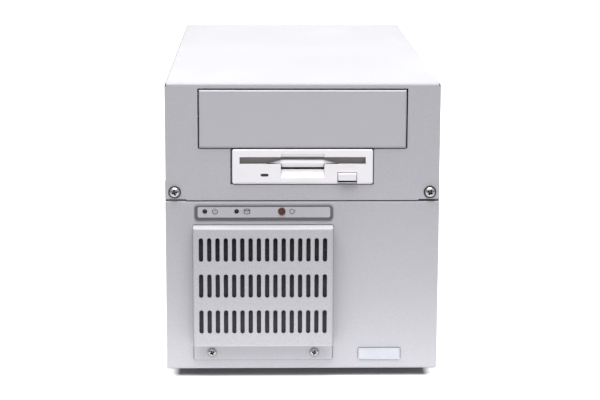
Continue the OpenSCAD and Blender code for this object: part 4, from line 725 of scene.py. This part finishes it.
def prism(outline, low, high):
    # closed solid from an outline of (x, y) points, drawn out along z
    shape = bmesh.new()
    bottom = [shape.verts.new((x, y, low)) for x, y in outline]
    top = [shape.verts.new((x, y, high)) for x, y in outline]
    shape.faces.new(bottom)
    shape.faces.new(top)
    for index in range(len(outline)):
        after = (index + 1) % len(outline)
        shape.faces.new((bottom[index], bottom[after], top[after], top[index]))
    return shape


def band(outer, inner, low, high):
    # closed ring between two outlines with as many points
    shape = bmesh.new()
    loops = [[shape.verts.new((x, y, height)) for x, y in outline]
             for outline, height in ((outer, low), (outer, high), (inner, high), (inner, low))]
    for first, second in zip(loops, loops[1:] + loops[:1]):
        for index in range(len(outer)):
            after = (index + 1) % len(outer)
            shape.faces.new((first[index], first[after], second[after], second[index]))
    return shape


def roundedRectangle(low, high, radius, steps=8):
    left, right, bottom, top = low[0] + radius, high[0] - radius, low[1] + radius, high[1] - radius
    points = []
    for cornerX, cornerY, start in ((right, top, 0), (left, top, 90),
                                    (left, bottom, 180), (right, bottom, 270)):
        points += arc(cornerX, cornerY, radius, radius, start, start + 90, steps)
    return points


def inset(low, high, rim):
    # the corners of a rectangle, moved inwards
    return (low[0] + rim, low[1] + rim), (high[0] - rim, high[1] - rim)


def evaluated(shape, modifiers):
    # runs modifiers on a bmesh and gives back the result as a new one
    mesh = meshFrom("scratch", shape)
    scratch = newObject("scratch", mesh)
    for kind, settings in modifiers:
        modifier = scratch.modifiers.new(kind, kind)
        for setting, value in settings.items():
            setattr(modifier, setting, value)
    result = bmesh.new()
    result.from_object(scratch, bpy.context.evaluated_depsgraph_get())
    bpy.data.objects.remove(scratch)
    bpy.data.meshes.remove(mesh)
    return result


towardsFront = Matrix.Rotation(math.radians(90), 4, "X")     # z of a solid turns to -y
towardsRear = Matrix.Rotation(math.radians(-90), 4, "X")     # z of a solid turns to +y
facingDown = Matrix.Rotation(math.radians(180), 4, "X")


# Screws with a pressed cross recess
def crossCutter(reach, width, top, depth):
    # cross with tapered walls and floor, as the driver leaves it
    shape = bmesh.new()
    for turn in (0, 90):
        arm = bmesh.new()
        rows = []
        # share is how much of the mouth's size is left at that height
        for height, share in ((top, 1.0), (top - depth, 0.5)):
            halfReach, halfWidth = reach * (0.35 + 0.65 * share), width * share / 2 + width * 0.22
            rows.append([arm.verts.new((x * halfReach, y * halfWidth, height)) for x, y in square])
        for index in range(4):
            after = (index + 1) % 4
            arm.faces.new((rows[0][index], rows[0][after], rows[1][after], rows[1][index]))
        arm.faces.new(rows[0])
        arm.faces.new(rows[1])
        bmesh.ops.recalc_face_normals(arm, faces=arm.faces)
        addSolid(shape, arm, Matrix.Rotation(math.radians(turn), 4, "Z"))
        arm.free()
    return shape


# shares of the head's radius and height
headForm = dict(foot=0.97, edge=0.06, rim=0.22, fullness=0.8, steps=8, crossReach=0.6,
                crossWidth=0.28, crossTop=1.3, rounding=0.025)


def screwHead(look):
    radius, height, form = look["radius"], look["height"], headForm
    domed = [(0, 0), (radius * form["foot"], 0), (radius, height * form["edge"]),
             (radius, height * form["rim"])]
    for step in range(1, form["steps"] + 1):
        turn = math.radians(90 * step / form["steps"])
        across = radius * math.cos(turn) ** form["fullness"] if step < form["steps"] else 0
        domed.append((across, height * (form["rim"] + (1 - form["rim"]) * math.sin(turn))))
    head = turned(domed, 56)
    cutterShape = crossCutter(radius * form["crossReach"], radius * form["crossWidth"],
                              height * form["crossTop"], height)
    cutterMesh = meshFrom("cutter", cutterShape)
    cutter = newObject("cutter", cutterMesh)
    result = evaluated(head, [
        ("BOOLEAN", {"operation": "DIFFERENCE", "object": cutter, "solver": "EXACT", "use_self": True}),
        ("BEVEL", {"width": radius * form["rounding"], "segments": 2, "limit_method": "ANGLE",
                   "angle_limit": math.radians(40)}),
    ])
    bpy.data.objects.remove(cutter)
    bpy.data.meshes.remove(cutterMesh)
    return result


def solidBoxes(nodeName):
    # low and high corners of a node's separate solids, in x order
    shape = bmesh.new()
    shape.from_mesh(nodes[nodeName].data)
    bmesh.ops.remove_doubles(shape, verts=shape.verts, dist=1e-6)
    shape.verts.ensure_lookup_table()
    left, found = set(shape.verts), []
    while left:
        stack, island = [left.pop()], []
        while stack:
            vertex = stack.pop()
            island.append(vertex.co.copy())
            for link in vertex.link_edges:
                other = link.other_vert(vertex)
                if other in left:
                    left.remove(other)
                    stack.append(other)
        found.append([Vector(limit(point[axis] for point in island) for axis in range(3))
                      for limit in (min, max)])
    shape.free()
    return sorted(found, key=lambda corners: (round(corners[0].x, 4), corners[0].z, corners[0].y))


# end is the axis along which a head lies and the corner, low or high, at its top
screws = {
    "coverScrews": dict(node="cover_screws", radius=3.8 * mm, height=2.8 * mm, shank=8.5 * mm,
                        shankRadius=1.95 * mm, turn=12, facing=towardsFront, end=(1, 0)),
    "filterCoverScrews": dict(node="filter_cover_screws", radius=3.2 * mm, height=2.1 * mm,
                              shank=7 * mm, shankRadius=1.38 * mm, turn=30, facing=towardsFront,
                              end=(1, 0)),
    "rearScrews": dict(node="psu_screws", radius=3.4 * mm, height=2.0 * mm, shank=5 * mm,
                       shankRadius=1.45 * mm, turn=20, facing=towardsRear, end=(1, 1)),
    "slotScrews": dict(node="bracket_screws", radius=3.6 * mm, height=2.1 * mm, shank=5 * mm,
                       shankRadius=1.45 * mm, turn=5, facing=Matrix.Identity(4), end=(2, 1)),
    "footScrews": dict(node="feet_screws", radius=3.8 * mm, height=1.9 * mm, shank=5 * mm,
                       shankRadius=1.95 * mm, turn=33, facing=facingDown, end=(2, 0)),
}
nextTurn = 47     # degrees from the cross of one head to that of the next, so that no two stand alike


def screwPlaces(look):
    axis, top = look["end"]
    places = []
    for corners in solidBoxes(look["node"]):
        spot = (corners[0] + corners[1]) / 2
        spot[axis] = corners[top][axis] + (-look["height"] if top else look["height"])
        places.append(spot)
    return places


def makeScrews(name):
    look = screws[name]
    head = screwHead(look)
    foot, radius, top = -look["shank"], look["shankRadius"], 0.1 * mm
    shank = turned([(0, foot), (radius, foot), (radius, top), (0, top)], 20)
    shape = bmesh.new()
    for count, spot in enumerate(screwPlaces(look)):
        where = Matrix.Translation(spot) @ look["facing"]
        spin = Matrix.Rotation(math.radians(look["turn"] + nextTurn * count), 4, "Z")
        addSolid(shape, head, where @ spin)
        addSolid(shape, shank, where)
    head.free()
    shank.free()
    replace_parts(newPiece(name, shape, "case", "nickel_screws", 30), look["node"])


# radius and height in mm, of the dark ring under each cover screw's head
darkRingProfile = ((0, -0.05), (4.45, -0.05), (4.5, 0.12), (4.35, 0.42), (3.4, 0.5), (0, 0.5))


def makeFrontScrews():
    makeScrews("coverScrews")
    shape = bmesh.new()
    darkRing = turned([(radius * mm, height * mm) for radius, height in darkRingProfile])
    for spot in screwPlaces(screws["coverScrews"]):
        addSolid(shape, darkRing, Matrix.Translation((spot.x, panelFront, spot.z)) @ towardsFront)
    darkRing.free()
    newPiece("coverScrewDarkRings", shape, "case", "fan_plastic")
    makeScrews("filterCoverScrews")


makeFrontScrews()
print("front screws made")


# Open-cell foam behind the slots
foamPad = dict(step=0.9 * mm, pit=0.5 * mm, cell=950.0, wave=420)


def makeFoam():
    low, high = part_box("dust_filter")
    columns = round((high.x - low.x) / foamPad["step"])
    rows = round((high.z - low.z) / foamPad["step"])
    shape = bmesh.new()
    grid = []
    for row in range(rows + 1):
        line = []
        for column in range(columns + 1):
            point = Vector((low.x + (high.x - low.x) * column / columns, low.y,
                            low.z + (high.z - low.z) * row / rows))
            pore = (noise.cell(point * foamPad["cell"]) * 0.5 + noise.noise(point * foamPad["wave"]) * 0.5
                    + 0.5)
            onRim = row in (0, rows) or column in (0, columns)
            point.y += 0 if onRim else foamPad["pit"] * min(max(pore, 0), 1)
            line.append(shape.verts.new(point))
        grid.append(line)
    for row in range(rows):
        for column in range(columns):
            shape.faces.new((grid[row][column], grid[row][column + 1], grid[row + 1][column + 1],
                             grid[row + 1][column]))
    rim = ([grid[0][column] for column in range(columns)] + [grid[row][columns] for row in range(rows)]
           + [grid[rows][column] for column in range(columns, 0, -1)]
           + [grid[row][0] for row in range(rows, 0, -1)])
    back = [shape.verts.new((vertex.co.x, high.y, vertex.co.z)) for vertex in rim]
    for index in range(len(rim)):
        after = (index + 1) % len(rim)
        shape.faces.new((rim[index], rim[after], back[after], back[index]))
    shape.faces.new(back)
    foam = newPiece("filterFoam", shape, "case", "filter_foam", 80)
    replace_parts(foam, "dust_filter")


makeFoam()
print("foam made")


# Printed border and pictograms on the indicator plate
finishes["plate_ink"] = plasticFinish("plateInk", plastic((96, 95, 102), 0.5, 2400.0, 0.1, 0.03))
border = dict(edge=0.15 * mm, left=2.2 * mm, right=2.0 * mm, top=1.3 * mm, bottom=2.2 * mm,
              radius=2.2 * mm, thick=0.08 * mm)
symbols = dict(size=4.2 * mm, stroke=0.5 * mm, gap=3.2 * mm)


def newPrint(name, shape, body, finish, smoothAngle=35):
    piece = newPiece(name, shape, body, "label_film", smoothAngle)
    piece.data.materials[0] = finishes[finish]


def stroke(points, width, low, high, closed=False):
    # flat line of constant width along points
    count = len(points)
    sides = []
    for index, (x, y) in enumerate(points):
        before = points[index - 1] if index > 0 or closed else points[index]
        after = points[(index + 1) % count] if index < count - 1 or closed else points[index]
        along = Vector((after[0] - before[0], after[1] - before[1])).normalized()
        sides.append(Vector((-along.y, along.x)) * width / 2)
    leftSide = [(x + side.x, y + side.y) for (x, y), side in zip(points, sides)]
    rightSide = [(x - side.x, y - side.y) for (x, y), side in zip(points, sides)]
    if closed:
        return band(leftSide, rightSide, low, high)
    return prism(leftSide + rightSide[::-1], low, high)


# each symbol is a list of solids, with its measures as shares of its size
def powerSymbol(size, width, low, high):
    radius = size * 0.42
    return [stroke(arc(0, 0, radius, radius, 125, 415), width, low, high),
            stroke([(0, size * 0.05), (0, size * 0.52)], width, low, high)]


def diskSymbol(size, width, low, high):
    radius, tall = size * 0.48, size * 0.26
    return [stroke(arc(0, tall, radius, size * 0.17, 0, 360)[:-1], width, low, high, closed=True),
            stroke(arc(0, -tall, radius, size * 0.17, 180, 360), width, low, high),
            stroke([(-radius, tall), (-radius, -tall)], width, low, high),
            stroke([(radius, tall), (radius, -tall)], width, low, high)]


def returnSymbol(size, width, low, high):
    radius = size * 0.4
    tip = size * 0.2
    return [stroke(arc(0, 0, radius, radius, 60, 350), width, low, high),
            prism([(radius - tip, tip * 0.2), (radius + tip, tip * 0.2), (radius, tip * 1.6)], low, high)]


def makeIndicatorPrint():
    low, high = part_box("indicator_plate")
    face = Matrix.Translation((0, low.y, 0)) @ towardsFront
    outer = roundedRectangle(*inset((low.x, low.z), (high.x, high.z), border["edge"]), border["radius"])
    inner = roundedRectangle((low.x + border["left"], low.z + border["bottom"]),
                             (high.x - border["right"], high.z - border["top"]), border["radius"] * 0.6)
    shape = bmesh.new()
    addSolid(shape, band(outer, inner, 0, border["thick"]), face)
    newPrint("indicatorBorder", shape, "case", "plate_ink")
    lampBoxes = solidBoxes("indicator_lamps")
    middle = (lampBoxes[0][0].z + lampBoxes[0][1].z) / 2
    shape = bmesh.new()
    for (left, right), symbol in ((lampBoxes[0], powerSymbol), (lampBoxes[-1], diskSymbol),
                                  (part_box("reset_button"), returnSymbol)):
        across = (left.x + right.x) / 2 + symbols["gap"] + symbols["size"]
        centre = Matrix.Translation((across, low.y, middle)) @ towardsFront
        for solid in symbol(symbols["size"], symbols["stroke"], 0, border["thick"]):
            addSolid(shape, solid, centre)
            solid.free()
    newPrint("indicatorSymbols", shape, "case", "plate_ink")


makeIndicatorPrint()
print("indicator print made")


# Bare name plate with a raised rim
namePlate = dict(rim=0.55 * mm, step=0.22 * mm, radius=0.6 * mm, rounding=0.08 * mm)


def makeNamePlate():
    low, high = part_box("name_plate")
    thick = high.y - low.y
    face = Matrix.Translation((0, high.y, 0)) @ towardsFront
    corners = (low.x, low.z), (high.x, high.z)
    outer = roundedRectangle(*corners, namePlate["radius"])
    inner = roundedRectangle(*inset(*corners, namePlate["rim"]), namePlate["radius"] * 0.6)
    shape = bmesh.new()
    addSolid(shape, band(outer, inner, 0, thick), face)
    addSolid(shape, prism(inner, 0, thick - namePlate["step"]), face)
    bmesh.ops.remove_doubles(shape, verts=shape.verts, dist=1e-7)
    plate = newPiece("namePlate", shape, "case", "plate_metal")
    rounding = plate.modifiers.new("rounding", "BEVEL")
    rounding.width = namePlate["rounding"]
    rounding.segments = 2
    rounding.limit_method = "ANGLE"
    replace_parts(plate, "name_plate")


makeNamePlate()
print("name plate made")


# Rear, slot and foot screws
for name in ("rearScrews", "slotScrews", "footScrews"):
    makeScrews(name)
print("rear screws made")


# Port connectors: rim, insulator, contacts and the jack screws beside each
ports = {
    "across": (2.6 * mm, 10.6 * mm),       # from the card's low side
    "sunk": -0.05 * mm,
    "corner": 2.0 * mm,
    "rim": 0.7 * mm,
    "rise": 1.0 * mm,
    "pitch": 2.77 * mm,
    "rowGap": 2.84 * mm,
    "contact": 0.55 * mm,
    "jack": dict(across=4.8 * mm, length=5.0 * mm, away=4.3 * mm, bore=1.25 * mm, sunk=1.2 * mm),
    # lower edge above the panel's bottom, height, contacts in each row
    "placed": {"cpu_card": ((44 * mm, 17 * mm, (5, 4)), (86 * mm, 17 * mm, (5, 4))),
               "io_card": ((52 * mm, 39 * mm, (13, 12)),)},
}


def hexagon(across, steps=24):
    # as many points as a circle has, so that a band joins the two
    points = []
    for step in range(steps):
        turn = 360 * step / steps
        radius = across / 2 / math.cos(math.radians((turn + 30) % 60 - 30))
        points.append((radius * math.cos(math.radians(turn)), radius * math.sin(math.radians(turn))))
    return points


def plateFace(nodeName):
    # rear face of the upright part of the card's bracket
    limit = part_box(nodeName + "_bracket")[0].z + 60 * mm
    return max(vertex.co.y for vertex in nodes[nodeName + "_bracket"].data.vertices if vertex.co.z < limit)


def makePorts():
    rims, insulators, contacts, jacks = (bmesh.new() for part in range(4))
    jack, contact = ports["jack"], ports["contact"]
    pin = turned([(0, 0), (contact, 0), (contact, 0.62 * mm), (contact * 0.6, 0.8 * mm), (0, 0.8 * mm)], 12)
    for nodeName, rows in ports["placed"].items():
        low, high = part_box(nodeName)
        plate = plateFace(nodeName)
        left, right = low.x + ports["across"][0], low.x + ports["across"][1]
        for bottom, tall, counts in rows:
            centre = Vector(((left + right) / 2, high.y, panelBottom + bottom + tall / 2))
            face = Matrix.Translation(centre) @ towardsRear
            corners = (-(right - left) / 2, -tall / 2), ((right - left) / 2, tall / 2)
            outer = roundedRectangle(*corners, ports["corner"])
            inner = roundedRectangle(*inset(*corners, ports["rim"]), ports["corner"] - ports["rim"])
            addSolid(rims, band(outer, inner, ports["sunk"], ports["rise"]), face)
            addSolid(insulators, prism(inner, ports["sunk"], 0.2 * mm), face)
            for side, count in zip((-1, 1), counts):
                for index in range(count):
                    along = (index - (count - 1) / 2) * ports["pitch"]
                    spot = Matrix.Translation((side * ports["rowGap"] / 2, along, 0.15 * mm))
                    addSolid(contacts, pin, face @ spot)
            for end in (-1, 1):
                height = centre.z + end * (tall / 2 + jack["away"])
                post = band(hexagon(jack["across"]), circlePoints(jack["bore"]), 0, jack["length"])
                where = Matrix.Translation((centre.x, plate, height)) @ towardsRear
                addSolid(jacks, post, where)
                plug = prism(circlePoints(jack["bore"]), 0, jack["length"] - jack["sunk"])
                addSolid(insulators, plug, where)
    pin.free()
    newPiece("portRims", rims, "case", "bracket_nickel", 30)
    newPiece("portInsulators", insulators, "case", "connector_black", 30)
    newPiece("portContacts", contacts, "case", "standoff_brass", 30)
    newPiece("jackScrews", jacks, "case", "nickel_screws", 20)


makePorts()
print("ports made")


# Marks on the rocker switch
rockerMarks = dict(tilt=10, valley=3.0 * mm, axisIn=2.8 * mm, reach=4.2 * mm,
                   bar=(0.7 * mm, 3.4 * mm), ring=1.5 * mm, stroke=0.6 * mm, thick=0.12 * mm)
finishes["mark_white"] = plasticFinish("markWhite", plastic((226, 226, 224), 0.5, 2400.0, 0.1, 0.03))


def makeRockerMarks():
    low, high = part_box("switch_housing")
    look = rockerMarks
    axis = Vector(((low.x + high.x) / 2, high.y - look["axisIn"], (low.z + high.z) / 2))
    tilt = math.radians(look["tilt"])
    valley = axis + Vector((0, look["valley"] * math.cos(tilt), -look["valley"] * math.sin(tilt)))
    halfStroke = look["stroke"] / 2
    outer, inner = circlePoints(look["ring"] + halfStroke), circlePoints(look["ring"] - halfStroke)
    ring = band(outer, inner, 0, look["thick"])
    wide, tall = look["bar"]
    bar = prism([(x * wide / 2, y * tall / 2) for x, y in square], 0, look["thick"])
    shape = bmesh.new()
    ringUp, barUp = Vector((0, math.sin(2 * tilt), math.cos(2 * tilt))), Vector((0, 0, 1))
    for solid, up, away in ((ring, ringUp, 1), (bar, barUp, -1)):
        outward = Vector((0, up.z, -up.y))
        turn = Matrix((Vector((-1, 0, 0)), up, outward)).transposed().to_4x4()
        addSolid(shape, solid, Matrix.Translation(valley + away * look["reach"] * up) @ turn)
        solid.free()
    newPrint("rockerMarks", shape, "rocker", "mark_white", 30)


makeRockerMarks()
print("rocker marks made")


# Lip of the bezel that closes the eject button's opening below
lip = dict(ends=0.5 * mm, top=1.0 * mm, foot=0.15 * mm, depth=1.9 * mm, chamfer=1.3 * mm,
           inset=0.1 * mm)


def makeEjectLip():
    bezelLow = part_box("floppy_bezel")[0]
    buttonLow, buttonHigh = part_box("eject_button")
    face, bottom, top = bezelLow.y + lip["inset"], bezelLow.z + lip["foot"], bezelLow.z + lip["top"]
    side = [(face + lip["chamfer"] + bottom - top, top), (face + lip["chamfer"], bottom),
            (face + lip["depth"], bottom), (face + lip["depth"], top)]
    shape = bmesh.new()
    # the outline is in (y, z): its third axis turns to x
    turn = Matrix(((0, 0, 1, 0), (1, 0, 0, 0), (0, 1, 0, 0), (0, 0, 0, 1)))
    addSolid(shape, prism(side, buttonLow.x + lip["ends"], buttonHigh.x - lip["ends"]), turn)
    newPiece("ejectLip", shape, "case", "bezel_plastic", 30)


makeEjectLip()
print("eject lip made")
